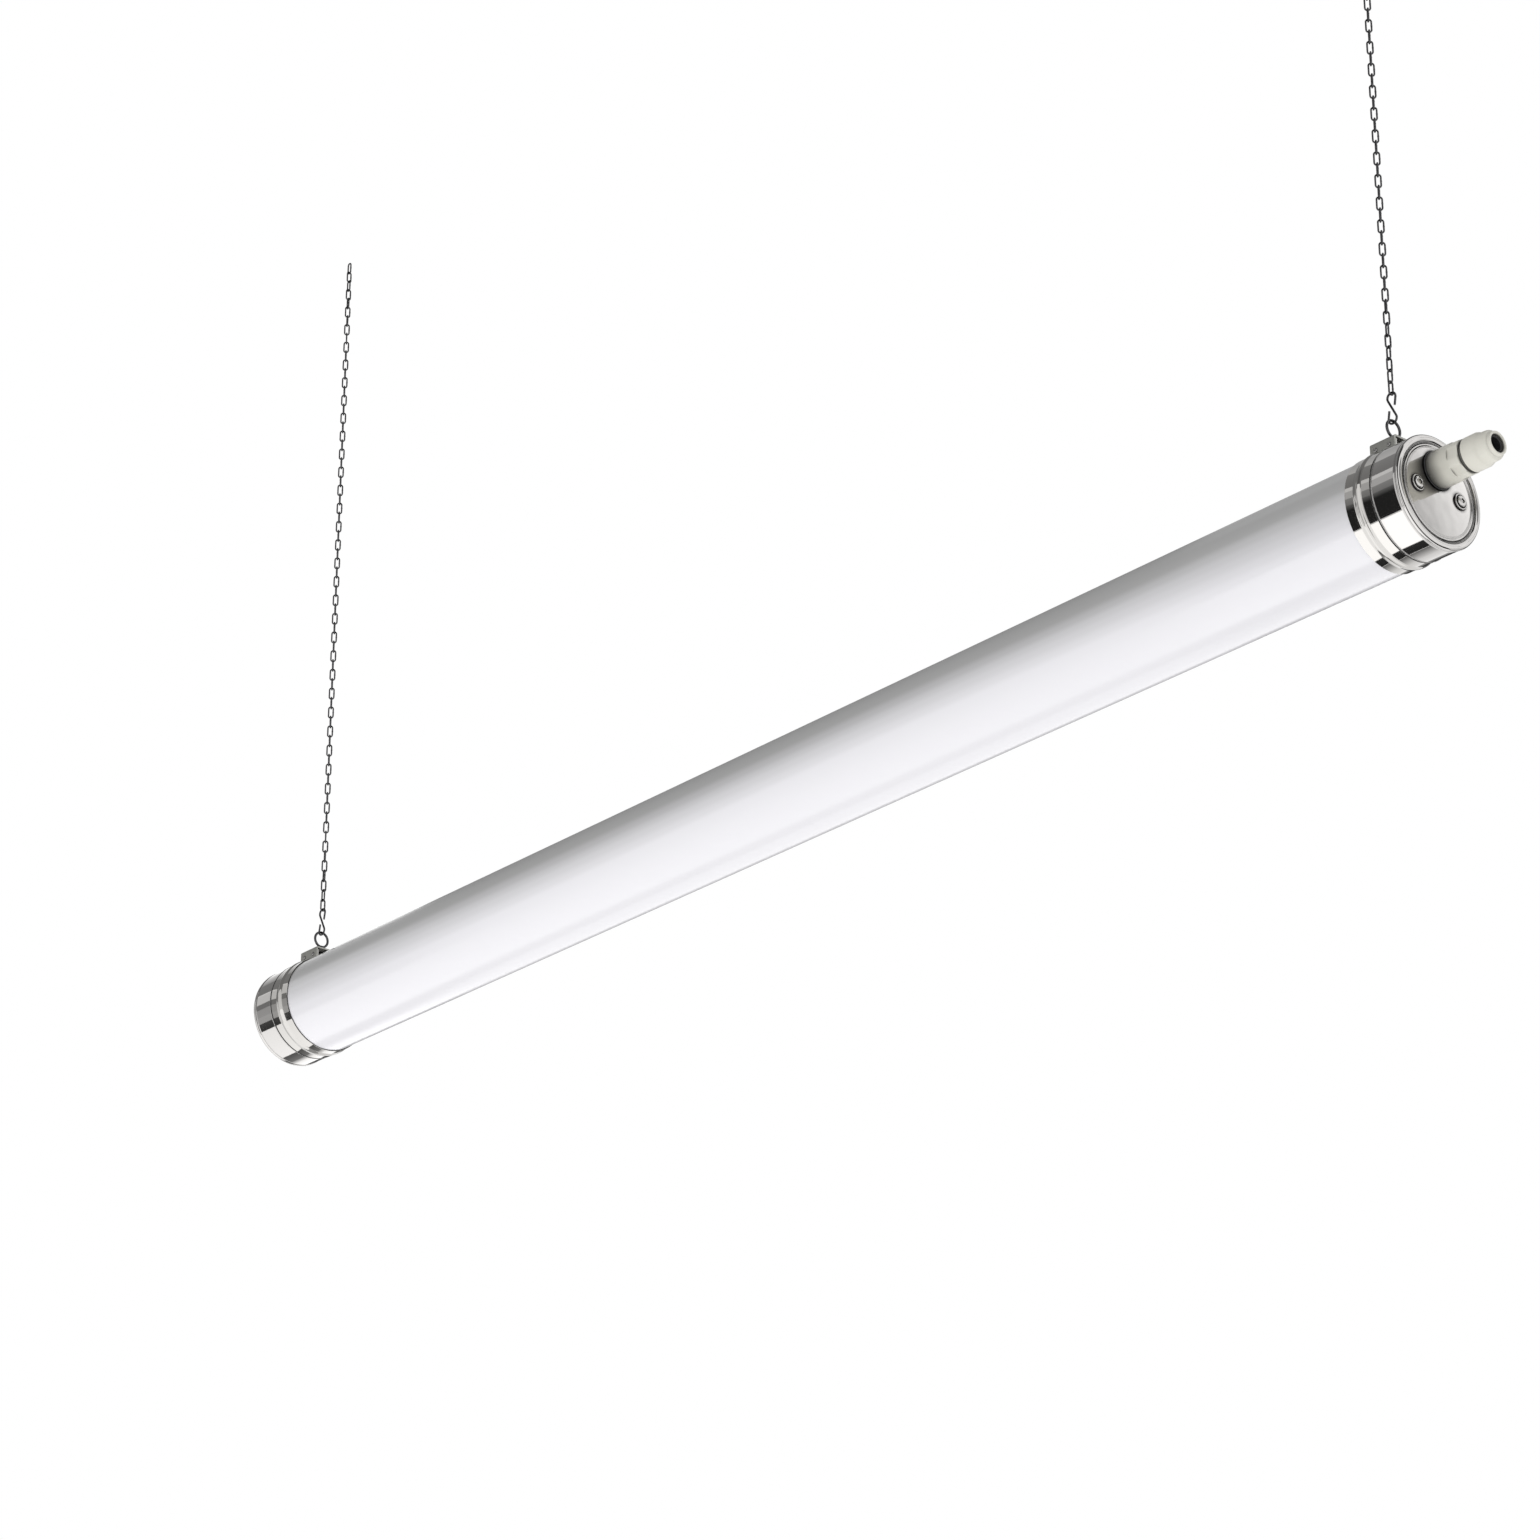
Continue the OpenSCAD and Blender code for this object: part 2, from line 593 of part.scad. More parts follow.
// A board with two rows of square light emitters on its underside
module led_board(number) color("#f4f4ee") at_axis()
    translate([board_x0 + (number - 1) * (board_l + board_gap), 0, 0]) {
        count = floor((board_l - led_pitch) / led_pitch);
        difference() {
            translate([0, -board_w / 2, tray_rise - board_t]) cube([board_l, board_w, board_t]);
            for (x = [12, board_l - 12], y = [-1, 1])
                translate([x, y * (board_w / 2 - 4), tray_rise - board_t - 1])
                    cylinder(d = board_screw_d + 2 * fit, h = board_t + 2);
        }
        for (i = [0:count - 1], y = [-1, 1])
            translate([board_l / 2 + (i - (count - 1) / 2) * led_pitch - 1.4, y * board_w / 5 - 1.8,
                tray_rise - board_t - 0.7]) cube([2.8, 3.6, 0.7 + eps]);
    }

module led_board_1() led_board(1);
module led_board_2() led_board(2);
module led_board_3() led_board(3);
module led_board_4() led_board(4);

// Push-in connectors under the joints between boards
module board_connectors() color("#e2e3df") at_axis() for (b = [1:boards - 1])
    translate([board_x0 + b * (board_l + board_gap) - board_gap / 2, 0, tray_rise - board_t]) difference() {
        translate([-7, -5, -3]) cube([14, 10, 3]);
        for (y = [-1, 1]) translate([0, y * 2.2, -1.6]) rod(1.4, -8, -3);
        for (y = [-1, 1]) translate([0, y * 2.2, -1.6]) rod(1.4, 3, 8);
    }

// A pan-head screw standing on its head, with a cross slot; stem is the length above the head
module pan_screw(d, stem) difference() {
    rotate_extrude() polygon([[0, -d * 0.6], [d * 0.7, -d * 0.6], [d, -d * 0.25], [d, 0], [d / 2, 0],
        [d / 2, stem - 0.4], [d / 2 - 0.4, stem], [0, stem]]);
    for (a = [0, 90]) rotate([0, 0, a]) translate([-d * 0.6, -d / 8, -d * 0.6 - 1])
        cube([d * 1.2, d / 4, 1 + d * 0.25]);
}

module board_screws() color(steel) at_axis() board_screw_places()
    translate([0, 0, tray_rise - board_t]) pan_screw(board_screw_d, board_t + tray_sheet - fit);

// ---- Driver ----

// Section of the driver's cover, moved in by inset
module case_section(inset) {
    half = driver_w / 2 - inset;
    top = driver_h - driver_sheet - inset;
    polygon([[-half, 0], [half, 0], [half, top - 2.2 + inset * 0.6], [half - 2 + inset * 0.4, top],
        [-half + 2 - inset * 0.4, top], [-half, top - 2.2 + inset * 0.6]]);
}

// A sheet with a fixing ear and an upturned wall at each end
module driver_base() color(zinc) at_axis() translate([driver_x, 0, tray_top]) difference() {
    union() {
        translate([0, -driver_w / 2, 0]) cube([driver_l, driver_w, driver_sheet]);
        translate([-driver_ear, driver_ear_y - driver_ear_w / 2, 0])
            cube([driver_l + 2 * driver_ear, driver_ear_w, driver_sheet]);
        for (x = [0, driver_l - driver_sheet]) translate([0, 0, driver_sheet])
            along(x, x + driver_sheet) case_section(driver_sheet + fit);
    }
    for (x = [-driver_ear / 2, driver_l + driver_ear / 2])
        translate([x, driver_ear_y, -1]) cylinder(d = yoke_screw_d + 2 * fit, h = driver_sheet + 2);
}

module driver_cover() color(aluminium) at_axis() translate([0, 0, tray_top + driver_sheet])
    along(driver_x, driver_x + driver_l) difference() {
        case_section(0);
        translate([0, -eps]) case_section(driver_sheet);
    }

module driver_screws() color(steel) at_axis() driver_screw_places()
    translate([0, 0, tray_top + driver_sheet]) mirror([0, 0, 1])
        pan_screw(yoke_screw_d, driver_sheet + tray_sheet - fit);

// ---- Wiring ----

module terminal_block() color(grey_plastic) at_axis() translate([block_x, 0, tray_top]) difference() {
    along(0, block_l) polygon([[-block_w / 2, 0], [block_w / 2, 0], [block_w / 2, block_h - 2],
        [block_w / 2 - 2, block_h], [-block_w / 2 + 2, block_h], [-block_w / 2, block_h - 2]]);
    for (i = [0:terminals - 1]) translate([0, (i - (terminals - 1) / 2) * terminal_pitch, 0]) {
        translate([0, 0, block_h / 2 + 1]) rod(4, block_l - 9, block_l + 1);
        translate([block_l - 6, 0, block_h - 3]) cylinder(d = 4.4, h = 4);
    }
}

module terminal_screws() color(steel) at_axis() for (i = [0:terminals - 1])
    translate([block_x + block_l - 6, (i - (terminals - 1) / 2) * terminal_pitch,
        tray_top + block_h - 3]) difference() {
            cylinder(d = 4.4 - 2 * fit, h = 2);
            translate([-3, -0.4, 1.2]) cube([6, 0.8, 1]);
        }

// Live and neutral wires that lie on the tray from the terminal block to the driver
module supply_leads() color("#6d4a2f") at_axis() for (y = [0, 1])
    translate([0, y * terminal_pitch, lead_z]) rod(wire_d, driver_x + driver_l, block_x);

// Two wires from the driver along the tray and down through it to the first light board
module led_leads() color("#c8321e") at_axis() for (y = [-1, 1]) translate([0, y * wire_d, 0]) {
    translate([0, 0, lead_z]) rod(wire_d, led_lead_x + led_lead_bend, driver_x);
    translate([led_lead_x + led_lead_bend, 0, tray_rise]) rotate([90, 0, 0]) mirror([1, 0, 0])
        rotate_extrude(angle = 90) translate([led_lead_bend, 0]) circle(d = wire_d);
}

// A stud pressed into the tray, with its nut
module earth_stud() color("#b9a14e") at_axis() translate([stud_x, stud_y, tray_rise]) {
    cylinder(d = stud_d, h = tray_sheet + 10);
    translate([0, 0, tray_sheet + 1]) cylinder(d = stud_d * 1.75 / cos(30), h = 3, $fn = 6);
}

// Ring tag on the earth stud, crimped to a wire that runs to the terminal block
module earth_lead() color("#5d8f3a") at_axis() translate([stud_x, stud_y, tray_top]) {
    difference() {
        union() {
            cylinder(d = stud_d * 2.1, h = 0.8);
            translate([0, -wire_d / 2, 0]) cube([12, wire_d, 0.8]);
        }
        translate([0, 0, -1]) cylinder(d = stud_d + 2 * fit, h = 3);
    }
    translate([0, 0, lead_z - tray_top]) rod(wire_d, 7, block_x - stud_x);
}

// ---- Cable gland ----

module at_gland() at_end(1) translate([0, 0, gland_rise]) children();

module gland_gasket() color(rubber) at_gland() turned([[gland_thread_d / 2 + fit, face_h],
    [gasket_d / 2 - 0.3, face_h], [gasket_d / 2, face_h + 0.3], [gasket_d / 2, gland_base - 0.3],
    [gasket_d / 2 - 0.3, gland_base], [gland_thread_d / 2 + fit, gland_base]]);

module gland_body() color(grey_plastic) at_gland() difference() {
    union() {
        rod(gland_thread_d, spigot_end, gland_base + 1);
        intersection() {
            turned([[0, gland_base], [gland_d / 2 - 0.3, gland_base], [gland_d / 2, gland_base + 0.3],
                [gland_d / 2, gland_body_end - 1], [gland_d / 2 - 1, gland_body_end], [0, gland_body_end]]);
            union() {
                rod(gland_d + 2, gland_base - 1, gland_body_end - 9);
                hex_rod(gland_af, gland_base, gland_body_end + 1);
            }
        }
        rod(gland_neck_d, gland_body_end - 1, gland_body_end + 10);
    }
    rod(gland_bore_d, spigot_end - 1, seal_seat + eps);
    rod(gland_neck_d - 4, seal_seat, gland_body_end + 11);
}

// Rubber sleeve that the dome nut squeezes onto the cable
module gland_seal() color(rubber) at_gland() turned([[cable_bore_d / 2, seal_seat + fit],
    [gland_neck_d / 2 - 2 - fit, seal_seat + fit], [gland_neck_d / 2 - 2 - fit, gland_body_end + 10],
    [gland_mouth_d / 2 - 0.2, gland_nut_end - 6], [gland_mouth_d / 2 - 0.2, gland_nut_end - 2],
    [cable_bore_d / 2, gland_nut_end - 2]]);

module gland_nut() color(grey_plastic) at_gland() difference() {
    intersection() {
        turned(concat([[0, gland_nut_start], [gland_d / 2 - 1.2, gland_nut_start],
            [gland_d / 2, gland_nut_start + 1], [gland_d / 2, gland_nut_start + 10.5],
            [gland_d / 2 - 1.2, gland_nut_start + 13.5]],
            arc(gland_d / 2 - 4.8, gland_nut_end - 5.6, 3.2, 20, 60, 4),
            arc(gland_mouth_d / 2 + 1.2, gland_nut_end - 1.2, 1.2, 60, 90, 3), [[0, gland_nut_end]]));
        union() {
            hex_rod(gland_af, gland_nut_start - 1, gland_nut_start + 13.5);
            rod(gland_af, gland_nut_start + 12, gland_nut_end + 1);
        }
    }
    rod(gland_neck_d + 2 * fit, gland_nut_start - 1, gland_body_end + 11);
    rotate([0, 90, 0]) translate([0, 0, gland_body_end + 11 - eps])
        cylinder(d1 = gland_neck_d - 2, d2 = gland_mouth_d, h = gland_nut_end - 6 - gland_body_end - 11);
    rod(gland_mouth_d, gland_nut_end - 8, gland_nut_end + 1);
}

module gland_locknut() color(grey_plastic) at_gland() difference() {
    hex_rod(gland_thread_d + 6, cap_inside - fit - locknut_t, cap_inside - fit);
    rod(gland_thread_d + 2 * fit, spigot_end - 1, 5);
}

top_link_left();
top_link_right();
sway_link_left();
sway_link_right();
chain_left();
chain_right();
s_hook_left();
s_hook_right();
eye_bolt_left();
eye_bolt_right();
eye_washers();
eye_nuts();
saddle_left();
saddle_right();
clamp_band_left();
clamp_band_right();
saddle_rivets_left();
saddle_rivets_right();
opal_tube();
end_cap_left();
end_cap_right();
cap_seal_left();
cap_seal_right();
cup_washers_left();
cup_washers_right();
cap_screws_left();
cap_screws_right();
yoke_left();
yoke_right();
yoke_screws();
end_guide_left();
end_guide_right();
gear_tray();
led_board_1();
led_board_2();
led_board_3();
led_board_4();
board_connectors();
board_screws();
driver_base();
driver_cover();
driver_screws();
terminal_block();
terminal_screws();
supply_leads();
led_leads();
earth_stud();
earth_lead();
gland_gasket();
gland_body();
gland_seal();
gland_nut();
gland_locknut();
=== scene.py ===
"""Looks of a hanging work light: an opal tube between two polished end caps, hung on two chains.

The packed model is the fixed frame. Each piece that shows is rebuilt here with a finer surface
in the same place, and every piece, inner ones too, gets a material that starts from what the
real one is made of. Objects are in metres, X runs along the tube and Z is up.
"""

import math

import bmesh
import bpy
from bpy.props import (FloatProperty, FloatVectorProperty, IntProperty, PointerProperty)
from bpy.types import Operator, Panel, PropertyGroup
from mathutils import Matrix, Vector


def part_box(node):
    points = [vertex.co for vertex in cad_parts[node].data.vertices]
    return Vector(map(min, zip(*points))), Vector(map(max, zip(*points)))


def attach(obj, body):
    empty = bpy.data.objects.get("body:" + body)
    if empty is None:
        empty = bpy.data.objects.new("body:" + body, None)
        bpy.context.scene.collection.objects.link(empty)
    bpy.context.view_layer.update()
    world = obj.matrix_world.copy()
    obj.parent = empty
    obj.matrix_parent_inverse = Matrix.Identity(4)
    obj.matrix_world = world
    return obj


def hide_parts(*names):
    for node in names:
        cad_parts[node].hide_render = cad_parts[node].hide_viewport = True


bl_info = {
    "name": "Hanging work light",
    "version": (1, 0, 0),
    "blender": (4, 5, 0),
    "location": "View3D > Sidebar > Work light",
    "description": "Builds the finished pieces, materials and studio of a hanging work light",
    "category": "Object",
}

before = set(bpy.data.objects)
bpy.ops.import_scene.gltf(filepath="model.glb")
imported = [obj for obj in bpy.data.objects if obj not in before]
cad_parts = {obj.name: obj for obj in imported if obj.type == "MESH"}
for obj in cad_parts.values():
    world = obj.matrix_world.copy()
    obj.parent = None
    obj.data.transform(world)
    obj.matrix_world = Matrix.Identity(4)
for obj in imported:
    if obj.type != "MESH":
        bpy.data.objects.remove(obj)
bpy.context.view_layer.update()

MM = 0.001
FULL_TURN = 2 * math.pi
SHARP_ANGLE = math.radians(32)
NOISE_LOW, NOISE_HIGH = 0.3, 0.7    # What a noise field mostly lies between
PACKED_BEAD = 0.9 * MM              # Height of the bead on the packed clamp bands
EMITTER_PITCH = 24 * MM             # Distance of the emitters along a light board
LIGHT = "light"
CLAMPS = "clamps"


def middle(node):
    """Middle of a node's box."""
    low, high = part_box(node)
    return (low + high) / 2


AXIS = middle("opal_tube")
TUBE_LOW, TUBE_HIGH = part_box("opal_tube")
TUBE_RADIUS = (TUBE_HIGH.z - TUBE_LOW.z) / 2
CHAIN_X = {"left": middle("top_link_left").x, "right": middle("top_link_right").x}
CAP_END_X = {"left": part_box("end_cap_left")[0].x, "right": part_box("end_cap_right")[1].x}
OUTWARD = {"left": -1, "right": 1}


# ---- Settings ----

def linear(hex_colour):
    """Linear red, green and blue of an sRGB hex colour."""
    parts = [int(hex_colour[i:i + 2], 16) / 255 for i in (1, 3, 5)]
    return [p / 12.92 if p <= 0.04045 else ((p + 0.055) / 1.055) ** 2.4 for p in parts]


def size(name, description, millimetres):
    """A length setting with its default in millimetres."""
    return FloatProperty(name=name, description=description, default=millimetres * MM,
                         min=0, precision=5, unit="LENGTH")


def turn(name, description, degrees):
    """An angle setting with its default in degrees."""
    return FloatProperty(name=name, description=description, default=math.radians(degrees),
                         subtype="ANGLE")


def colour(name, description, hex_colour):
    """A colour setting with its default as an sRGB hex value."""
    return FloatVectorProperty(name=name, description=description, default=linear(hex_colour),
                               min=0, max=1, size=3, subtype="COLOR")


def level(name, description, value):
    """A brightness setting, where 1 renders as white."""
    return FloatProperty(name=name, description=description, default=value, min=0,
                         subtype="FACTOR", soft_max=2)


class StudioSettings(PropertyGroup):
    """Camera, floor and light."""

    lens: FloatProperty(name="Lens", description="Focal length on a 36 mm sensor",
                        default=111.12, unit="CAMERA")
    camera_place: FloatVectorProperty(name="Camera place", description="Where the camera stands",
                                      default=(3.0382, -2.1739, -2.1773), subtype="TRANSLATION",
                                      unit="LENGTH")
    azimuth: turn("Azimuth", "Angle of the camera about the object, 0 looking along +Y", 48.597)
    elevation: turn("Elevation", "Angle of the camera above the horizon", -24.291)
    floor_drop: size("Floor drop", "Height of the lamp's chains above the floor", 3400)
    floor_size: size("Floor size", "Side of the floor", 400000)
    sky: level("Sky", "Brightness of the room above the lamp", 0.48)
    floor_glow: level("Floor glow", "Light that the pale floor gives back by itself", 0.50)
    floor_seen: level("Floor seen", "The same where the floor shows behind the lamp", 0.58)
    key_power: FloatProperty(name="Key light", description="Power of the soft low front light",
                             default=12, unit="POWER")
    key_place: FloatVectorProperty(name="Key place", description="Where the key light stands",
                                   default=(-1.0, -2.0, -2.3), subtype="TRANSLATION",
                                   unit="LENGTH")
    key_size: FloatVectorProperty(name="Key size", description="Width and height of its face",
                                  default=(2.4, 1.2), size=2, unit="LENGTH")
    tent_radius: size("Tent radius", "Distance of the reflection cards from the tube", 1900)
    cards: level("Cards", "Brightness that a card of 1 has", 1.37)


class TubeSettings(PropertyGroup):
    """Opal tube."""

    lit: colour("Lit opal", "Colour of the opal below the tray", "#f0eff3")
    # Painted shade of the opal's upper part
    shaded: colour("Shaded opal", "Colour of the opal where the tray backs it", "#bcbcbc")
    wall: size("Wall", "Wall of the tube", 3)


class SteelSettings(PropertyGroup):
    """Polished and plated metal."""

    cap: colour("Cap steel", "Polished stainless steel of the caps", "#bfbdbb")
    band: colour("Band steel", "Polished stainless steel of the clamp bands", "#bbb9b6")
    screw: colour("Screw steel", "Turned stainless steel of the screws", "#bab8b6")
    zinc: colour("Zinc", "Zinc plating of the saddles", "#979792")
    wire: colour("Wire", "Zinc plating of chains, hooks and eyes", "#545456")


class ChainSettings(PropertyGroup):
    """Short-link chain."""

    links: IntProperty(name="Links", description="Links in each chain", default=70, min=20)
    wire: size("Wire", "Wire of a link", 1.3)
    bend: size("Bend", "Bend radius of a link on the middle of its wire", 1.95)
    leg: size("Leg", "Straight side of a link", 6.5)
    play: size("Play", "Slack between two links", 0.1)
    weld: size("Weld", "How far the weld bulges out of a link's wire", 0.13)
    twist: turn("Twist", "Turn that the middle of a chain takes about its own line", -41.4)
    twist_links: IntProperty(name="Twist links", description="Links over which it builds up",
                             default=8, min=1)


class HookSettings(PropertyGroup):
    """S-hooks and eye bolts."""

    wire: size("Wire", "Wire of an S-hook", 1.6)
    loop: size("Loop", "Loop radius of an S-hook on the middle of its wire", 3.6)
    tail: size("Tail", "Free end beyond the loop", 6)
    lean: turn("Lean", "Angle at which a free end leans in", 10)
    eye: size("Eye", "Ring radius of an eye bolt on the middle of its wire", 6.5)
    eye_wire: size("Eye wire", "Wire of the ring", 2)
    shoulder: size("Shoulder", "Diameter of the eye bolt's shoulder", 6.4)
    shank: size("Shank", "Thread diameter of the eye bolt", 4)
    pitch: size("Pitch", "Distance between two threads", 0.7)
    nut: size("Nut", "Width across flats of the nut", 7)


class ClampSettings(PropertyGroup):
    """Clamp bands and saddles."""

    sheet: size("Band sheet", "Sheet of the clamp band", 0.8)
    bead_width: size("Bead width", "Width of the raised bead", 7.6)
    bead_height: size("Bead height", "Height of the raised bead", 0.85)
    ear: size("Ear", "Distance from the middle to an ear's middle", 10.6)
    ear_bend: size("Ear bend", "Bend radius between the band and an ear", 1.2)
    saddle_sheet: size("Saddle sheet", "Sheet of the saddle", 1.5)
    saddle_bend: size("Saddle bend", "Outside corner radius of the saddle", 1.8)
    slit: size("Slit", "Gap between a saddle's legs and the band", 0.45)


class CapSettings(PropertyGroup):
    """Pressed end caps."""

    sheet: size("Sheet", "Sheet of a cap", 0.6)
    rim: size("Rim", "Radius of the rolled bead round the rim", 2.6)
    face: size("Face", "Height of the flat face above the middle of the bead", 1)
    groove: size("Groove", "Height of the groove's bottom", 0.6)
    ring: size("Ring", "Height of the thin ring", 1.6)
    screw: size("Screw", "Head diameter of a cap screw", 8.6)
    socket: size("Socket", "Width across flats of its hex socket", 3)


class GlandSettings(PropertyGroup):
    """Cable gland."""

    grip: size("Grip", "Width across flats of the body and the dome nut", 24.6)
    mouth: size("Mouth", "Diameter of the hole in the dome nut", 13)
    thread: size("Thread", "Thread diameter", 20)
    cable: size("Cable", "Bore of the rubber seal", 10)
    body: colour("Gland", "Moulded light grey polyamide", "#e5e3d8")


SETTINGS = {
    "studio": StudioSettings, "tube": TubeSettings, "steel": SteelSettings,
    "chain": ChainSettings, "hook": HookSettings, "clamp": ClampSettings,
    "cap": CapSettings, "gland": GlandSettings,
}


# ---- Surfaces ----

def add_skin(shape, rings, loop=False):
    """Adds a surface through rings of points, which closes on itself or has a face at each end."""
    grid = [[shape.verts.new(point) for point in ring] for ring in rings]
    pairs = list(zip(grid, grid[1:]))
    if loop:
        pairs.append((grid[-1], grid[0]))
    for a, b in pairs:
        for i in range(len(a)):
            j = (i + 1) % len(a)
            shape.faces.new((a[i], a[j], b[j], b[i]))
    if not loop:
        shape.faces.new(grid[0])
        shape.faces.new(grid[-1])


def new_piece(name, shape, material, body, slot, *nodes):
    """Makes an object of a shape. It rides on the body and stands for the nodes."""
    bmesh.ops.recalc_face_normals(shape, faces=shape.faces)
    mesh = bpy.data.meshes.new(name)
    shape.to_mesh(mesh)
    shape.free()
    mesh.shade_smooth()
    mesh.set_sharp_from_angle(angle=SHARP_ANGLE)
    mesh.materials.append(material)
    piece = bpy.data.objects.new(name, mesh)
    bpy.context.scene.collection.objects.link(piece)
    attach(piece, body)
    if nodes:
        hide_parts(*nodes)


def along_x(x, y=0.0, z=AXIS.z, outward=1):
    """Place of a turned piece that points along +X, or along -X where outward is -1."""
    flip = Matrix.Rotation(math.pi, 4, "Z") if outward < 0 else Matrix.Identity(4)
    return Matrix.Translation((x, y, z)) @ flip


def upright(x, y, z):
    """Place of a turned piece that points up."""
    return Matrix.Translation((x, y, z)) @ Matrix.Rotation(-math.pi / 2, 4, "Y")


def add_turned(shape, profile, place, steps=96, loop=False):
    """Adds a solid of revolution about the X axis of place. The profile's points are
    (along, radius), or (along, radius, flats) where a hexagon of that width cuts it. Where
    it isn't a loop, it starts and ends at a small face on the axis."""
    rings = []
    for point in profile:
        ring = []
        for i in range(steps):
            angle = FULL_TURN * i / steps
            radius = point[1]
            if len(point) > 2:
                to_flat = (angle % (FULL_TURN / 6)) - FULL_TURN / 12
                radius = min(radius, point[2] / 2 / math.cos(to_flat))
            ring.append(place @ Vector((point[0], radius * math.sin(angle),
                                        radius * math.cos(angle))))
        rings.append(ring)
    add_skin(shape, rings, loop)


def arc(along, radius, bend, start, end, count=8):
    """Points (along, radius) of an arc. 0 degrees points away from the axis, 90 outward."""
    points = []
    for i in range(count + 1):
        angle = math.radians(start + (end - start) * i / count)
        points.append((along + bend * math.sin(angle), radius + bend * math.cos(angle)))
    return points


def pressed(start, end, count=8):
    """Points of a smooth pressed step between two points, without the first one."""
    points = []
    for i in range(1, count + 1):
        share = i / count
        rise = (1 - math.cos(math.pi * share)) / 2
        points.append((start[0] + (end[0] - start[0]) * rise,
                       start[1] + (end[1] - start[1]) * share))
    return points


def thread(start, end, pitch, first, second):
    """Points of a thread: turns that begin before end, each with one radius, then the other."""
    points = []
    x = start
    while x < end:
        points += [(x, first), (x + pitch / 2, second)]
        x += pitch
    return points


def add_wire(shape, path, radii, across, loop=False, sides=12):
    """Adds a round wire along a path that lies in a plane, which across is square to."""
    rings = []
    for i, point in enumerate(path):
        before = path[i - 1] if loop or i > 0 else point
        after = path[(i + 1) % len(path)] if loop or i < len(path) - 1 else point
        side = (after - before).normalized().cross(across)
        rings.append([point + radii[i] * (math.cos(FULL_TURN * k / sides) * side
                                          + math.sin(FULL_TURN * k / sides) * across)
                      for k in range(sides)])
    add_skin(shape, rings, loop)


def rounded_ends(path, radius, count=4):
    """The path and its radii, with half-round ends."""
    points, radii = [], []
    for end, inner in ((path[0], path[1]), (path[-1], path[-2])):
        inward = (inner - end).normalized()
        for i in range(count):
            angle = math.pi / 2 * (i + 0.5) / count
            points.append(end + inward * radius * (1 - math.sin(angle)))
            radii.append(radius * math.sin(angle))
    first, last = points[:count], points[count:]
    return (first + path[1:-1] + last[::-1],
            radii[:count] + [radius] * (len(path) - 2) + radii[count:][::-1])


# ---- Materials ----

def add_node(tree, kind, inputs=None, **settings):
    """Adds one node: settings go on the node, and inputs are values or sockets to link."""
    node = tree.nodes.new(kind)
    for name, value in settings.items():
        setattr(node, name, value)
    for name, value in (inputs or {}).items():
        if isinstance(value, bpy.types.NodeSocket):
            tree.links.new(value, node.inputs[name])
        else:
            node.inputs[name].default_value = value
    return node


def new_material(name, rgb, roughness, metallic=0.0, **sockets):
    """A material with one Principled shader; sockets are its other inputs, with _ for spaces."""
    material = bpy.data.materials.new(name)
    material.use_nodes = True
    tree = material.node_tree
    shader = tree.nodes["Principled BSDF"]
    shader.inputs["Base Color"].default_value = (*rgb, 1)
    shader.inputs["Roughness"].default_value = roughness
    shader.inputs["Metallic"].default_value = metallic
    for socket, value in sockets.items():
        shader.inputs[socket.replace("_", " ")].default_value = value
    return material, tree, shader


def pattern(tree, lengths, detail=3.0):
    """An uneven field whose grain has the given lengths in millimetres along each axis."""
    place = add_node(tree, "ShaderNodeTexCoord")
    scaled = add_node(tree, "ShaderNodeMapping", {
        "Vector": place.outputs["Object"], "Scale": [1 / (length * MM) for length in lengths]})
    return add_node(tree, "ShaderNodeTexNoise", {
        "Vector": scaled.outputs["Vector"], "Scale": 1.0, "Detail": detail}).outputs["Fac"]


def finish(tree, shader, field, tones=None, roughness=None, relief=0.0):
    """Lets one field vary the colour between two tones, the roughness between two values, and
    the relief to a depth in millimetres."""
    if tones:
        mixed = add_node(tree, "ShaderNodeMix", {0: field, 6: (*tones[0], 1), 7: (*tones[1], 1)},
                         data_type="RGBA")
        tree.links.new(mixed.outputs[2], shader.inputs["Base Color"])
    if roughness:
        spread = add_node(tree, "ShaderNodeMapRange", {
            "Value": field, "From Min": NOISE_LOW, "From Max": NOISE_HIGH,
            "To Min": roughness[0], "To Max": roughness[1]})
        tree.links.new(spread.outputs["Result"], shader.inputs["Roughness"])
    if relief:
        bump = add_node(tree, "ShaderNodeBump", {"Height": field, "Distance": relief * MM})
        tree.links.new(bump.outputs["Normal"], shader.inputs["Normal"])


def shade(rgb, factor):
    """A linear colour made darker or lighter."""
    return [min(1.0, part * factor) for part in rgb]


def painted_corner_shade(tree, shader, rgb, reach, dark, low):
    """Painted shade: colour that goes darker in grooves and corners, within reach millimetres of
    other surfaces, down to the factor dark where these leave only the share low of the sky open."""
    open_face = 0.97
    # Painted shade from ambient occlusion: darker where other surfaces are near
    corners = add_node(tree, "ShaderNodeAmbientOcclusion", {"Distance": reach * MM}, samples=8)
    depth = add_node(tree, "ShaderNodeMapRange", {
        "Value": corners.outputs["AO"], "From Min": low, "From Max": open_face})
    finish(tree, shader, depth.outputs["Result"], tones=(shade(rgb, dark), rgb))


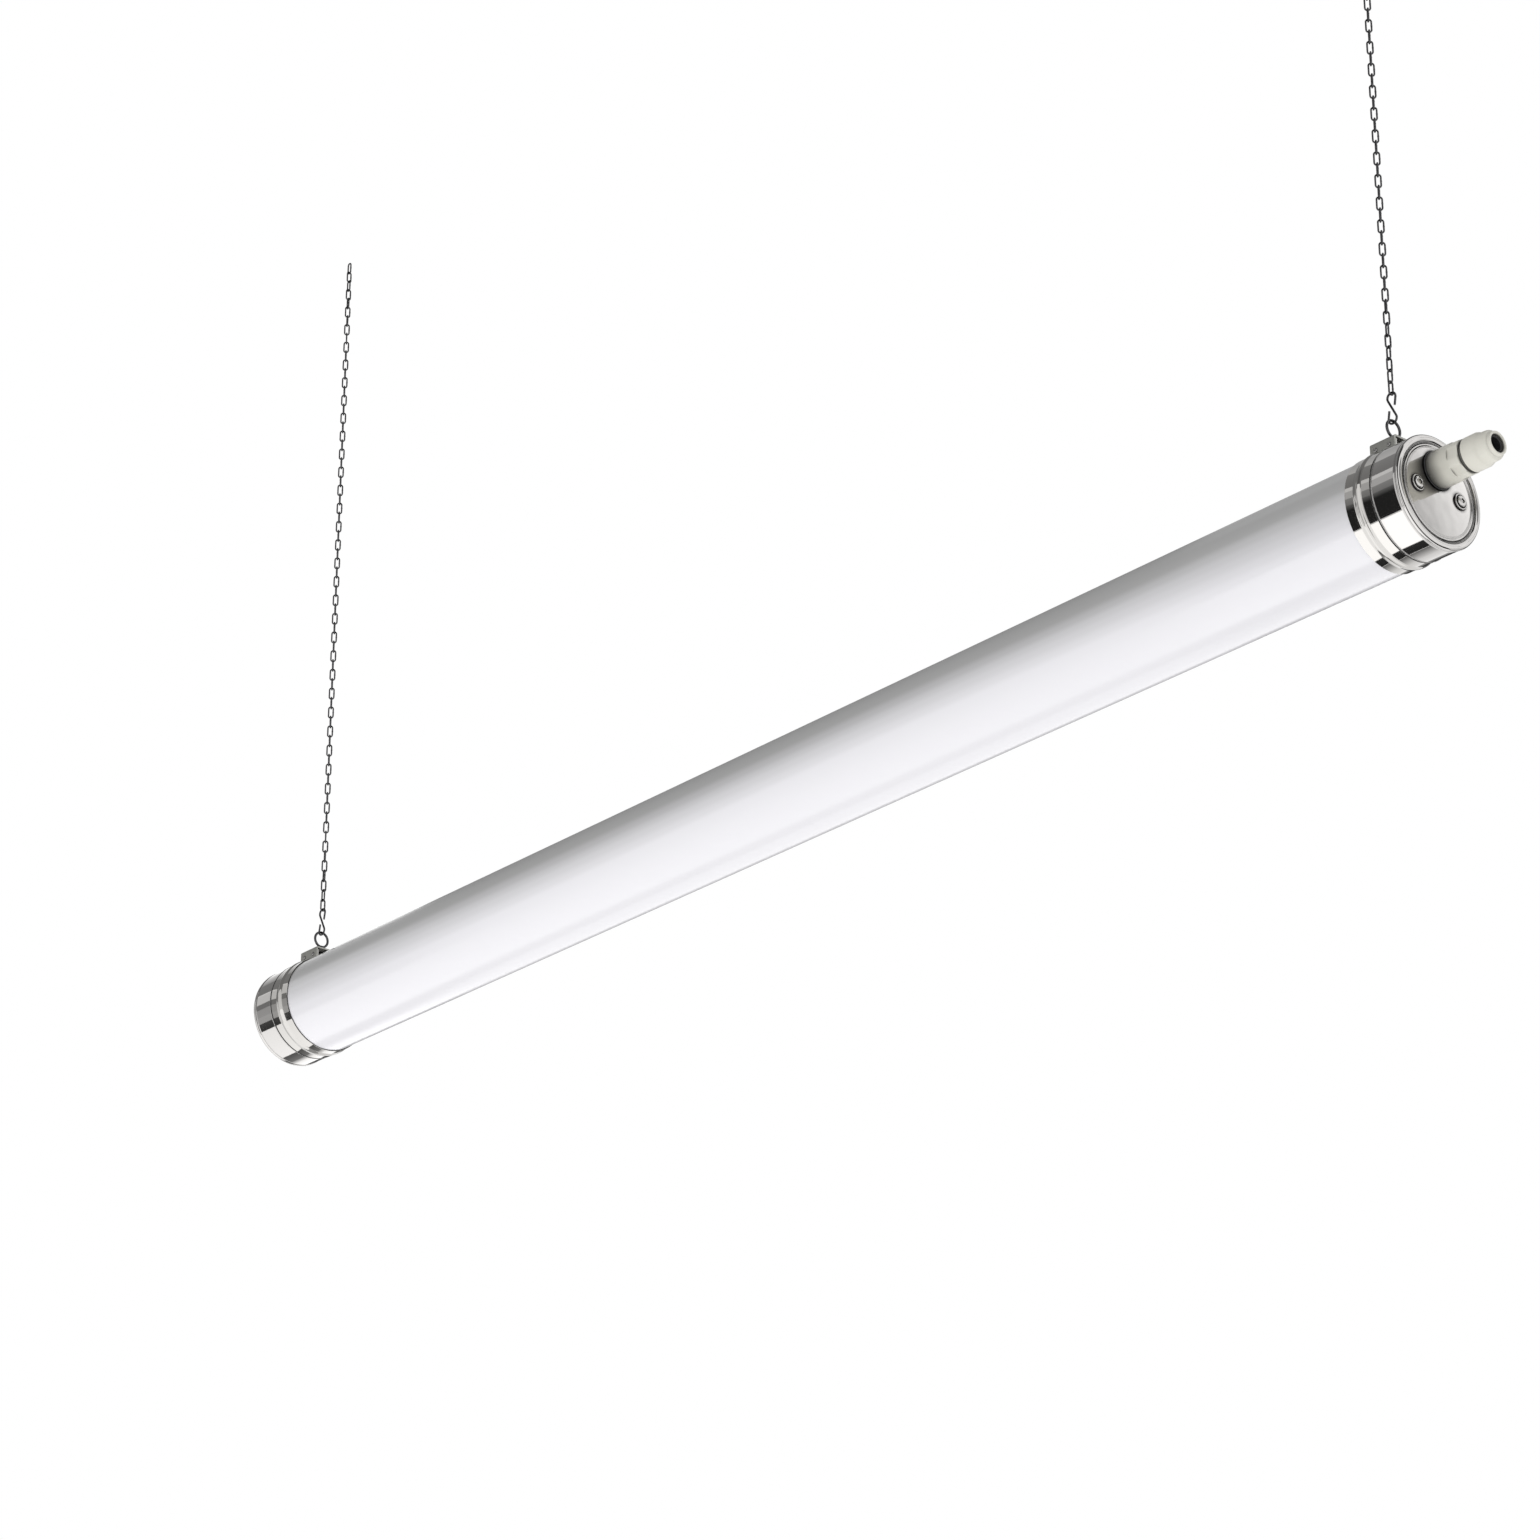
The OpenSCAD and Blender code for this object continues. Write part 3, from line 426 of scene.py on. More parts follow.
def polished_stainless_steel(name, rgb, roughness, shade_reach):
    """Deep-drawn stainless steel, spun against a buff: a mirror with a faint haze in rings round
    the tube, and slow waves left by the press that bend its reflections a little. Shade is painted
    darker within shade_reach millimetres of a corner."""
    material, tree, shader = new_material(name, rgb, roughness, metallic=1.0)
    place = add_node(tree, "ShaderNodeTexCoord").outputs["Object"]
    across = add_node(tree, "ShaderNodeVectorMath", {
        0: place, 1: (0, 1, 1), 2: (0, 0, -AXIS.z)}, operation="MULTIPLY_ADD")
    radius = add_node(tree, "ShaderNodeVectorMath", {0: across.outputs["Vector"]},
                      operation="LENGTH")
    apart = add_node(tree, "ShaderNodeSeparateXYZ", {"Vector": place})
    rings = add_node(tree, "ShaderNodeCombineXYZ", {
        "X": apart.outputs["X"], "Y": radius.outputs["Value"]})
    # Buffing rings stand about 0.4 mm apart
    buffing = add_node(tree, "ShaderNodeTexNoise", {
        "Vector": rings.outputs["Vector"], "Scale": 1 / (0.4 * MM), "Detail": 2.0})
    finish(tree, shader, buffing.outputs["Fac"], roughness=(roughness * 0.75, roughness * 1.3))
    # Press waves are about 14 mm long and a few hundredths of a millimetre deep
    finish(tree, shader, pattern(tree, (14, 14, 14), detail=1.0), relief=0.025)
    # Painted shade: darker in grooves and corners, near other surfaces
    painted_corner_shade(tree, shader, rgb, shade_reach, dark=0.02, low=0.74)
    return material


def turned_stainless_steel(name, rgb, roughness=0.16):
    """Stainless steel screws and washers: turned, so bright with a soft spread of light, which
    the tool marks make uneven over 1.2 mm."""
    material, tree, shader = new_material(name, rgb, roughness, metallic=1.0)
    finish(tree, shader, pattern(tree, (1.2, 1.2, 1.2)),
           roughness=(roughness * 0.8, roughness * 1.3))
    # Painted shade: darker in grooves and corners, near other surfaces
    painted_corner_shade(tree, shader, rgb, reach=1.1, dark=0.02, low=0.72)
    return material


def zinc_plated_steel(name, rgb, roughness, grain):
    """Bright zinc plating on mild steel: satin, with a fine uneven grain and duller patches.
    The grain is in millimetres, as coarse as it needs to show, and a patch is five grains."""
    material, tree, shader = new_material(name, rgb, roughness, metallic=1.0)
    finish(tree, shader, pattern(tree, (grain * 5,) * 3, detail=4.0),
           tones=(shade(rgb, 0.93), shade(rgb, 1.06)),
           roughness=(roughness * 0.95, roughness * 1.08))
    finish(tree, shader, pattern(tree, (grain,) * 3), relief=grain * 0.003)
    # Painted shade: darker in grooves and corners, near other surfaces
    painted_corner_shade(tree, shader, rgb, reach=3.0, dark=0.1, low=0.5)
    return material


# Shares of the tube's height, and how much of the lit colour shows there over the painted shade of
# the upper part
OPAL_STOPS = ((0.30, 1.0), (0.36, 0.86), (0.44, 0.68), (0.50, 0.54), (0.57, 0.32), (0.66, 0.0))
# The painted shade reaches lower between two places along the tube, by a share of the tube's
# height
PAINTED_SHADE_LOWERS = (0.65, 1.20)
PAINTED_SHADE_LOWERS_BY = 0.06


def opal_acrylic(settings):
    """Extruded opal acrylic: a glossy milky wall. Its upper part, where the tray inside backs it,
    has painted shade, which reaches a little further down towards the gland's end. The lower part
    spreads the light and looks white with a touch of violet."""
    material, tree, shader = new_material("extruded_opal_acrylic", settings.lit,
                                          roughness=0.16, IOR=1.49)
    place = add_node(tree, "ShaderNodeTexCoord").outputs["Object"]
    apart = add_node(tree, "ShaderNodeSeparateXYZ", {"Vector": place})
    height = add_node(tree, "ShaderNodeMapRange", {
        "Value": apart.outputs["Z"], "From Min": AXIS.z - TUBE_RADIUS,
        "From Max": AXIS.z + TUBE_RADIUS})
    lower = add_node(tree, "ShaderNodeMapRange", {
        "Value": apart.outputs["X"], "From Min": PAINTED_SHADE_LOWERS[0], "From Max": PAINTED_SHADE_LOWERS[1],
        "To Max": PAINTED_SHADE_LOWERS_BY}, interpolation_type="SMOOTHSTEP")
    shade_share = add_node(tree, "ShaderNodeMath", {
        0: height.outputs["Result"], 1: lower.outputs["Result"]}, operation="ADD")
    ramp = add_node(tree, "ShaderNodeValToRGB", {"Fac": shade_share.outputs["Value"]})
    ramp.color_ramp.interpolation = "EASE"
    while len(ramp.color_ramp.elements) < len(OPAL_STOPS):
        ramp.color_ramp.elements.new(0.5)
    for element, (share, lit) in zip(ramp.color_ramp.elements, OPAL_STOPS):
        element.position = share
        element.color = (lit, lit, lit, 1)
    finish(tree, shader, ramp.outputs["Color"], tones=(settings.shaded, settings.lit))
    # Draw lines of the extrusion: long, and a few millimetres apart round the tube
    finish(tree, shader, pattern(tree, (600, 5, 5), detail=2.0), relief=0.004)
    return material


def moulded_polyamide(name, rgb):
    """Injection-moulded polyamide: a dense light grey plastic with a fine spark-eroded grain. Its
    corners and joints are painted darker as shade."""
    material, tree, shader = new_material(name, rgb, roughness=0.36, IOR=1.53)
    # Painted shade: darker within 14 mm of other surfaces, as beside the cap's face
    painted_corner_shade(tree, shader, rgb, reach=14.0, dark=0.12, low=0.5)
    # Grain of the mould, 0.35 mm here where the real one is finer than the render shows
    finish(tree, shader, pattern(tree, (0.35, 0.35, 0.35)), roughness=(0.3, 0.44),
           relief=0.006)
    return material


def black_rubber(name):
    """Moulded EPDM rubber: near black, dull, with a dusty bloom in patches of 3 mm and the
    0.4 mm grain of its mould."""
    material, tree, shader = new_material(name, linear("#1b1b1c"), roughness=0.6, IOR=1.52)
    finish(tree, shader, pattern(tree, (3, 3, 3), detail=4.0),
           tones=(linear("#141415"), linear("#262627")))
    finish(tree, shader, pattern(tree, (0.4, 0.4, 0.4)), relief=0.01)
    return material


def extruded_aluminium(name):
    """Mill-finish extruded aluminium: a soft sheen with die lines 0.5 mm apart that run along
    it for 180 mm."""
    material, tree, shader = new_material(name, linear("#cdcfd2"), roughness=0.34, metallic=1.0)
    finish(tree, shader, pattern(tree, (180, 0.5, 0.5), detail=2.0), roughness=(0.26, 0.42),
           relief=0.006)
    return material


def galvanised_steel(name):
    """Hot-dip galvanised sheet: grey, with flat crystal spangles about 4 mm across."""
    material, tree, shader = new_material(name, linear("#a9acae"), roughness=0.38, metallic=1.0)
    place = add_node(tree, "ShaderNodeTexCoord")
    spangle = add_node(tree, "ShaderNodeTexVoronoi", {
        "Vector": place.outputs["Object"], "Scale": 1 / (4 * MM)})
    apart = add_node(tree, "ShaderNodeSeparateColor", {"Color": spangle.outputs["Color"]})
    finish(tree, shader, apart.outputs["Red"], tones=(linear("#9a9da0"), linear("#bcbfc1")),
           roughness=(0.28, 0.5))
    return material


def solder_resist(name):
    """White solder resist on a glass-fibre board: glossy, with the copper just raising it. A
    stretch of copper is as long as the emitters are apart."""
    material, tree, shader = new_material(name, linear("#f1f1ec"), roughness=0.3, IOR=1.52)
    place = add_node(tree, "ShaderNodeTexCoord")
    tracks = add_node(tree, "ShaderNodeTexBrick", {
        "Vector": place.outputs["Object"], "Scale": 1 / EMITTER_PITCH, "Mortar Size": 0.03,
        "Color1": (1, 1, 1, 1), "Color2": (1, 1, 1, 1), "Mortar": (0, 0, 0, 1)})
    finish(tree, shader, tracks.outputs["Color"], tones=(linear("#dfe0da"), linear("#f3f3ee")),
           relief=0.03)
    return material


def phosphor_silicone(name):
    """Yellow phosphor in clear silicone: the soft, slightly glossy face of a light emitter,
    uneven over 0.3 mm where the powder has settled."""
    material, tree, shader = new_material(name, linear("#e9d36a"), roughness=0.25, IOR=1.41)
    finish(tree, shader, pattern(tree, (0.3, 0.3, 0.3)),
           tones=(linear("#e0c658"), linear("#f1de86")))
    return material


def wire_insulation(name, first, second, across_y):
    """Extruded PVC insulation: smooth and slightly glossy, with the 3 mm waves of the lay of
    the strands. Wires on the far side of across_y have the second colour."""
    material, tree, shader = new_material(name, first, roughness=0.35, IOR=1.53)
    place = add_node(tree, "ShaderNodeTexCoord").outputs["Object"]
    apart = add_node(tree, "ShaderNodeSeparateXYZ", {"Vector": place})
    far = add_node(tree, "ShaderNodeMath", {0: apart.outputs["Y"], 1: across_y},
                   operation="GREATER_THAN")
    finish(tree, shader, far.outputs["Value"], tones=(first, second))
    finish(tree, shader, pattern(tree, (3, 3, 3)), roughness=(0.3, 0.42), relief=0.01)
    return material


def turned_brass(name):
    """Turned brass: warm yellow, with tool marks 0.3 mm apart and 2 mm long."""
    material, tree, shader = new_material(name, linear("#cdb268"), roughness=0.25, metallic=1.0)
    finish(tree, shader, pattern(tree, (2, 2, 0.3)), roughness=(0.18, 0.34), relief=0.003)
    return material


def finish_node(node, material):
    """Gives a carried-over CAD node its material."""
    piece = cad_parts[node]
    piece.data.materials.clear()
    piece.data.materials.append(material)


# ---- Studio ----

def add_stage_object(name, mesh, material):
    """Adds a stage object with a material."""
    mesh.materials.append(material)
    item = bpy.data.objects.new(name, mesh)
    bpy.context.scene.collection.objects.link(item)
    return item


# Cards round the tube that only polished surfaces mirror, in groups from one x to another, in
# metres, with how much a card keeps of its brightness at the far x. A row is a card's start and
# end angle in degrees, 0 in front and 90 on top, and its brightness at both. The first two groups
# are what the bands and skirts of the right and the left end mirror, the dark ones from 1.25 to
# 2.30 draw the outline of the right rim, and the disc of the right end mirrors the one that fades.
TENT = (
    (-0.38, 0.12, 1, (
        (-34, 6, 0.018, 0.018), (6, 16, 0.02, 0.13), (16, 29, 0.20, 0.26),
        (29, 44, 0.46, 0.46), (44, 52, 0.66, 0.66), (52, 86, 0.20, 0.24), (86, 117, 0.49, 0.33),
        (117, 150, 0.37, 0.30), (157, 172, 0.03, 0.04), (172, 184, 0.06, 0.40),
        (-105, -36, 1.45, 1.45), (-125, -106, 0.02, 0.03), (-152, -126, 0.80, 0.15),
        (-176, -152, 0.95, 0.80))),
    (-2.70, -1.90, 1, (
        (-31, -13, 0.04, 0.07), (-13, 2, 0.42, 0.43), (2, 20, 0.38, 0.36),
        (20, 33, 0.20, 0.20), (33, 55, 0.63, 0.63), (58, 87, 0.21, 0.21),
        (87, 115, 0.30, 0.62), (115, 146, 0.66, 1.1), (150, 178, 0.12, 0.05),
        (-112, -31, 1.22, 1.10), (-138, -112, 0.22, 0.10), (-150, -138, 1.0, 0.35),
        (-178, -150, 1.32, 1.1))),
    (0.12, 0.80, 1, (
        (-180, -104, 0.90, 0.90), (-104, -31, 1.15, 1.15), (-31, 34, 0.75, 0.70),
        (34, 180, 0.20, 0.18))),
    (0.80, 1.25, 1, (
        (-150, -31, 1.10, 1.15), (-31, 40, 0.95, 0.90), (40, 180, 0.12, 0.06),
        (-180, -150, 0.06, 0.12))),
    (1.25, 2.30, 1, (
        (-180, -150, 0.7, 0.7), (-150, 85, 0.05, 0.05), (85, 180, 0.9, 0.9))),
    (2.30, 2.49, 1, (
        (-180, 180, 1.0, 1.0),)),
    (2.49, 2.60, 0.3, (
        (-180, 180, 1.4, 1.4),)),
    (2.60, 3.40, 1, (
        (-180, 140, 1.0, 1.0), (140, 153, 0.4, 0.4), (153, 180, 1.0, 1.0))),
    (3.40, 12.00, 1, (
        (-180, 40, 1.0, 1.0), (40, 130, 0.25, 0.25), (130, 180, 1.0, 1.0))),
    (-1.90, -0.38, 1, (
        (-180, -127, 0.95, 0.80), (-127, -105, 0.35, 0.35), (-105, -6, 1.20, 1.20),
        (-6, 34, 0.80, 0.70), (34, 180, 0.20, 0.18))),
    (-6.00, -2.70, 1, (
        (-180, -104, 0.90, 0.90), (-104, -6, 1.10, 1.10), (-6, 34, 0.75, 0.65),
        (34, 180, 0.20, 0.18))),
)
CARD_STEP = 4       # Degrees that one face of a bent card takes up


class WORKLIGHT_OT_studio(Operator):
    """Camera, pale floor, soft light and the cards that polished steel mirrors"""

    bl_idname = "work_light.studio"
    bl_label = "Studio"

    def execute(self, context):
        settings = context.scene.work_light_studio
        scene = context.scene
        scene.view_settings.view_transform = "Standard"
        lens = bpy.data.cameras.new("photo_camera")
        lens.lens = settings.lens
        lens.sensor_width = 36
        lens.clip_end = 1000
        camera = bpy.data.objects.new("photo_camera", lens)
        scene.collection.objects.link(camera)
        camera.location = settings.camera_place
        camera.rotation_euler = (math.pi / 2 - settings.elevation, 0, settings.azimuth)
        scene.camera = camera
        self.add_world(scene, settings)
        self.add_floor(settings)
        self.add_lamp(scene, settings)
        for low, high, fade, cards in TENT:
            for card in cards:
                self.add_card(*card, (low, settings.cards), (high, fade * settings.cards),
                              settings.tent_radius)
        return {"FINISHED"}

    def add_world(self, scene, settings):
        """White for what looks straight at it or mirrors it, softer for matt surfaces."""
        world = bpy.data.worlds.new("studio_world")
        world.use_nodes = True
        tree = world.node_tree
        tree.nodes.clear()
        path = add_node(tree, "ShaderNodeLightPath")
        seen = add_node(tree, "ShaderNodeMath", {
            0: path.outputs["Is Camera Ray"], 1: path.outputs["Is Transmission Ray"]},
            operation="MAXIMUM")
        mirrored = add_node(tree, "ShaderNodeMath", {
            0: seen.outputs["Value"], 1: path.outputs["Is Glossy Ray"]}, operation="MAXIMUM")
        strength = add_node(tree, "ShaderNodeMapRange", {
            "Value": mirrored.outputs["Value"], "To Min": settings.sky, "To Max": 1.0})
        background = add_node(tree, "ShaderNodeBackground", {
            "Color": (1, 1, 1, 1), "Strength": strength.outputs["Result"]})
        add_node(tree, "ShaderNodeOutputWorld", {"Surface": background.outputs["Background"]})
        scene.world = world

    def add_floor(self, settings):
        """A pale floor that gives a little light back, so that it meets the white world."""
        half = settings.floor_size / 2
        mesh = bpy.data.meshes.new("studio_floor")
        corners = [(x, y, -settings.floor_drop) for x, y in
                   ((-half, -half), (half, -half), (half, half), (-half, half))]
        mesh.from_pydata(corners, [], [(0, 1, 2, 3)])
        material, tree, shader = new_material("pale_floor", linear("#f2f2f2"), roughness=0.9)
        shader.inputs["Specular IOR Level"].default_value = 0
        shader.inputs["Emission Color"].default_value = (1, 1, 1, 1)
        path = add_node(tree, "ShaderNodeLightPath")
        glow = add_node(tree, "ShaderNodeMapRange", {
            "Value": path.outputs["Is Camera Ray"], "To Min": settings.floor_glow,
            "To Max": settings.floor_seen})
        tree.links.new(glow.outputs["Result"], shader.inputs["Emission Strength"])
        add_stage_object("studio_floor", mesh, material)

    def add_lamp(self, scene, settings):
        """One large soft lamp low in front, nearer to the plain end."""
        lamp = bpy.data.lights.new("low_key", "AREA")
        lamp.shape = "RECTANGLE"
        lamp.size, lamp.size_y = settings.key_size
        lamp.energy = settings.key_power
        key = bpy.data.objects.new("low_key", lamp)
        key.location = settings.key_place
        aimed_at = Vector((0.5, 0, AXIS.z))
        aim = aimed_at - key.location
        key.rotation_euler = aim.to_track_quat("-Z", "Y").to_euler()
        key.visible_glossy = False
        scene.collection.objects.link(key)

    def add_card(self, start, end, near, far, low, high, radius):
        """A card bent round the tube, from one angle to another, whose brightness runs from
        near at the start to far at the end. Low and high are its x and what that is times."""
        name = f"reflection_card_{start}_{round(low[0] * 100)}".replace("-", "m")
        mesh = bpy.data.meshes.new(name)
        count = max(2, round((end - start) / CARD_STEP))
        points, shades = [], []
        for i in range(count + 1):
            angle = math.radians(start + (end - start) * i / count)
            for x, share in (low, high):
                points.append((x, -radius * math.cos(angle), AXIS.z + radius * math.sin(angle)))
                shades.append((near + (far - near) * i / count) * share)
        mesh.from_pydata(points, [], [(2 * i, 2 * i + 1, 2 * i + 3, 2 * i + 2)
                                      for i in range(count)])
        mesh.attributes.new("brightness", "FLOAT", "POINT").data.foreach_set("value", shades)
        material = bpy.data.materials.new(name)
        material.use_nodes = True
        tree = material.node_tree
        tree.nodes.clear()
        value = add_node(tree, "ShaderNodeAttribute", attribute_name="brightness")
        glow = add_node(tree, "ShaderNodeEmission", {"Strength": value.outputs["Fac"]})
        add_node(tree, "ShaderNodeOutputMaterial", {"Surface": glow.outputs["Emission"]})
        card = add_stage_object(name, mesh, material)
        for ray in ("camera", "diffuse", "transmission", "volume_scatter", "shadow"):
            setattr(card, f"visible_{ray}", False)


# ---- Opal tube and end caps ----

class WORKLIGHT_OT_opal_tube(Operator):
    """Extruded opal tube with softened ends"""

    bl_idname = "work_light.opal_tube"
    bl_label = "Opal tube"

    def execute(self, context):
        settings = context.scene.work_light_tube
        inner = TUBE_RADIUS - settings.wall
        soft = 0.3 * MM
        low, high = TUBE_LOW.x, TUBE_HIGH.x
        # The long wall is cut into short lengths, which keeps its shading even
        count = 40
        outside = [(low + soft + (high - low - 2 * soft) * i / count, TUBE_RADIUS)
                   for i in range(count + 1)]
        profile = ([(low, TUBE_RADIUS - soft)] + outside + [(high, TUBE_RADIUS - soft),
                   (high, inner + soft), (high - soft, inner), (low + soft, inner),
                   (low, inner + soft)])
        shape = bmesh.new()
        add_turned(shape, profile, along_x(0), steps=192, loop=True)
        new_piece("extruded_opal_tube", shape, opal_acrylic(settings), LIGHT, "opal_tube",
                  "opal_tube")
        return {"FINISHED"}


class WORKLIGHT_OT_end_caps(Operator):
    """Pressed end caps with their rolled rims, and the rubber seals under their skirts"""

    bl_idname = "work_light.end_caps"
    bl_label = "End caps"

    def execute(self, context):
        settings = context.scene.work_light_cap
        steel = polished_stainless_steel("polished_stainless_steel",
                                         list(context.scene.work_light_steel.cap),
                                         roughness=0.05, shade_reach=2.7)
        rubber = black_rubber("moulded_epdm_rubber")
        for side, outward in OUTWARD.items():
            self.add_cap(settings, steel, side, outward)
            self.add_seal(rubber, side, outward)
        return {"FINISHED"}

    def add_cap(self, settings, steel, side, outward):
        """The sheet's outside, then its inside, from the middle of the face to the skirt."""
        low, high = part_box(f"end_cap_{side}")
        cap_radius = (high.z - low.z) / 2
        skirt = high.x - low.x - settings.rim
        rim_x = CAP_END_X[side] - outward * settings.rim
        centre = cap_radius - settings.rim
        hem = 0.3 * MM
        skirt_radius = cap_radius - hem
        step = 1.5 * MM
        pole = 0.4 * MM
        # The bead rises from the skirt in a crease and turns down towards the groove
        crease, turned_in = -36, 155
        bead = arc(0, centre, settings.rim, crease, turned_in, count=28)
        groove = (settings.groove, centre - settings.rim - 0.7 * MM)
        ring = (settings.ring, groove[1] - step)
        foot = (settings.face - 0.2 * MM, ring[1] - step)
        face = (settings.face, foot[1] - 1.0 * MM)
        rolled = arc(-skirt + hem, skirt_radius, hem, -90, 80)
        # Rings near each bend keep what the flat skirt mirrors straight
        flat = ([(-skirt + gap * MM, skirt_radius) for gap in (0.75, 1.0, 1.25)]
                + [(-settings.rim - gap * MM, skirt_radius) for gap in (0.7, 0.4, 0.1)])
        disc = [(settings.face, radius)
                for radius in (face[1] - 0.3 * MM, face[1] - 0.6 * MM, 20 * MM, pole)]
        outside = (rolled + flat + bead + pressed(bead[-1], groove)
                   + pressed(groove, ring, count=10) + pressed(ring, foot, count=10)
                   + pressed(foot, face) + disc)
        back = settings.face - settings.sheet
        inside = ([(back, pole), (back, face[1])] + pressed((back, face[1]), (0, groove[1]))
                  + arc(0, centre, settings.rim - settings.sheet, 150, 0, count=16)
                  + [(-skirt, cap_radius - settings.sheet)])
        shape = bmesh.new()
        add_turned(shape, outside + inside, along_x(rim_x, outward=outward), steps=192, loop=True)
        new_piece(f"pressed_end_cap_{side}", shape, steel, LIGHT, "polished_steel",
                  f"end_cap_{side}")

    def add_seal(self, rubber, side, outward):
        """The lip beside the skirt, rounded, and the sleeve and flange behind it."""
        low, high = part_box(f"cap_seal_{side}")
        outer = (high.z - low.z) / 2
        lip_x = high.x if outward < 0 else low.x
        deep = high.x - low.x
        inner = TUBE_RADIUS + 0.1 * MM
        sleeve = inner + 0.3 * MM
        lip, flange = 0.65 * MM, 0.8 * MM
        flange_inner = TUBE_RADIUS - 3.5 * MM
        profile = [(0.1 * MM, inner), (0, inner + 0.1 * MM), (0, outer - 0.2 * MM),
                   (0.08 * MM, outer - 0.06 * MM), (0.25 * MM, outer), (lip, outer),
                   (lip, sleeve), (deep, sleeve), (deep, flange_inner),
                   (deep - flange, flange_inner), (deep - flange, inner)]
        shape = bmesh.new()
        add_turned(shape, profile, along_x(lip_x, outward=outward), steps=144, loop=True)
        new_piece(f"rubber_cap_seal_{side}", shape, rubber, LIGHT, "rubber", f"cap_seal_{side}")


class WORKLIGHT_OT_cap_screws(Operator):
    """Cap screws with hex sockets, and the cup washers under them"""

    bl_idname = "work_light.cap_screws"
    bl_label = "Cap screws"

    def execute(self, context):
        settings = context.scene.work_light_cap
        steel = turned_stainless_steel("turned_stainless_steel",
                                       list(context.scene.work_light_steel.screw))
        for side, outward in OUTWARD.items():
            face_x = CAP_END_X[side] - outward * (settings.rim - settings.face)
            low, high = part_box(f"cup_washers_{side}")
            cup_height = high.x - low.x
            cup_radius = (high.z - low.z) / 2
            reach = (high.y - low.y) / 2 - cup_radius
            foot, top = sorted(outward * (corner.x - face_x)
                               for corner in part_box(f"cap_screws_{side}"))
            screws, cups = bmesh.new(), bmesh.new()
            for y in (-reach, reach):
                place = along_x(face_x, y, outward=outward)
                self.add_screw(screws, settings, place, foot, top, cup_height / 2)
                self.add_cup(cups, settings, place, cup_height, cup_radius)
            new_piece(f"socket_screws_{side}", screws, steel, LIGHT, "fastener_steel",
                      f"cap_screws_{side}")
            new_piece(f"pressed_cup_washers_{side}", cups, steel, LIGHT, "fastener_steel",
                      f"cup_washers_{side}")
        return {"FINISHED"}

    def add_screw(self, shape, settings, place, foot, top, seat):
        """A button head with a bevelled hex socket, and a threaded shank."""
        radius, socket = settings.screw / 2, settings.socket
        height = top - seat
        crown, mouth = socket * 0.66, socket * 0.62
        deep, tip = height * 0.33, height * 0.35
        head = [(seat, radius - 0.15 * MM), (seat + 0.2 * MM, radius)]
        for degrees in range(12, 91, 13):
            angle = math.radians(degrees)
            head.append((seat + height * math.sin(angle) ** 0.9,
                         crown + (radius - crown) * math.cos(angle)))
        head += [(top, mouth), (top - 0.25 * MM, socket, socket),
                 (top - deep, socket, socket), (top - tip, 0.2 * MM, socket)]
        shank, pitch = 2.5 * MM, 0.8 * MM
        turns = thread(foot, seat - 1.5 * pitch, pitch, shank - 0.3 * MM, shank)
        add_turned(shape, [(foot, 0.3 * MM)] + turns + [(seat, shank - 0.1 * MM)] + head,
                   place, steps=48)

    def add_cup(self, shape, settings, place, height, radius):
        """A dished washer: a rolled outer edge that slopes in to the seat of the head."""
        seat = settings.screw / 2 + 0.1 * MM
        hole, lip = 2.7 * MM, 0.55 * MM
        profile = [(0, hole), (0, radius - 0.15 * MM), (0.15 * MM, radius)]
        profile += arc(height - lip, radius - lip, lip, 0, 120, count=10)
        profile += [(height / 2 + 0.1 * MM, seat), (height / 2, seat - 0.1 * MM),
                    (height / 2, hole)]
        add_turned(shape, profile, place, steps=72, loop=True)


# ---- Clamp brackets ----

def bead_rise(settings, x):
    """Height of the bead across a band or along a saddle's foot, x from its middle."""
    across = max(-0.5, min(0.5, x / settings.bead_width))
    return settings.bead_height * math.cos(math.pi * across) ** 2


def across_strip(settings, width, edge):
    """Places across a strip of sheet, and how much its broken edge takes off there."""
    count = 16
    bead = [(settings.bead_width * (i / count - 0.5), 0) for i in range(count + 1)]
    return ([(-width / 2, edge), (-width / 2 + edge, 0)] + bead
            + [(width / 2 - edge, 0), (width / 2, edge)])


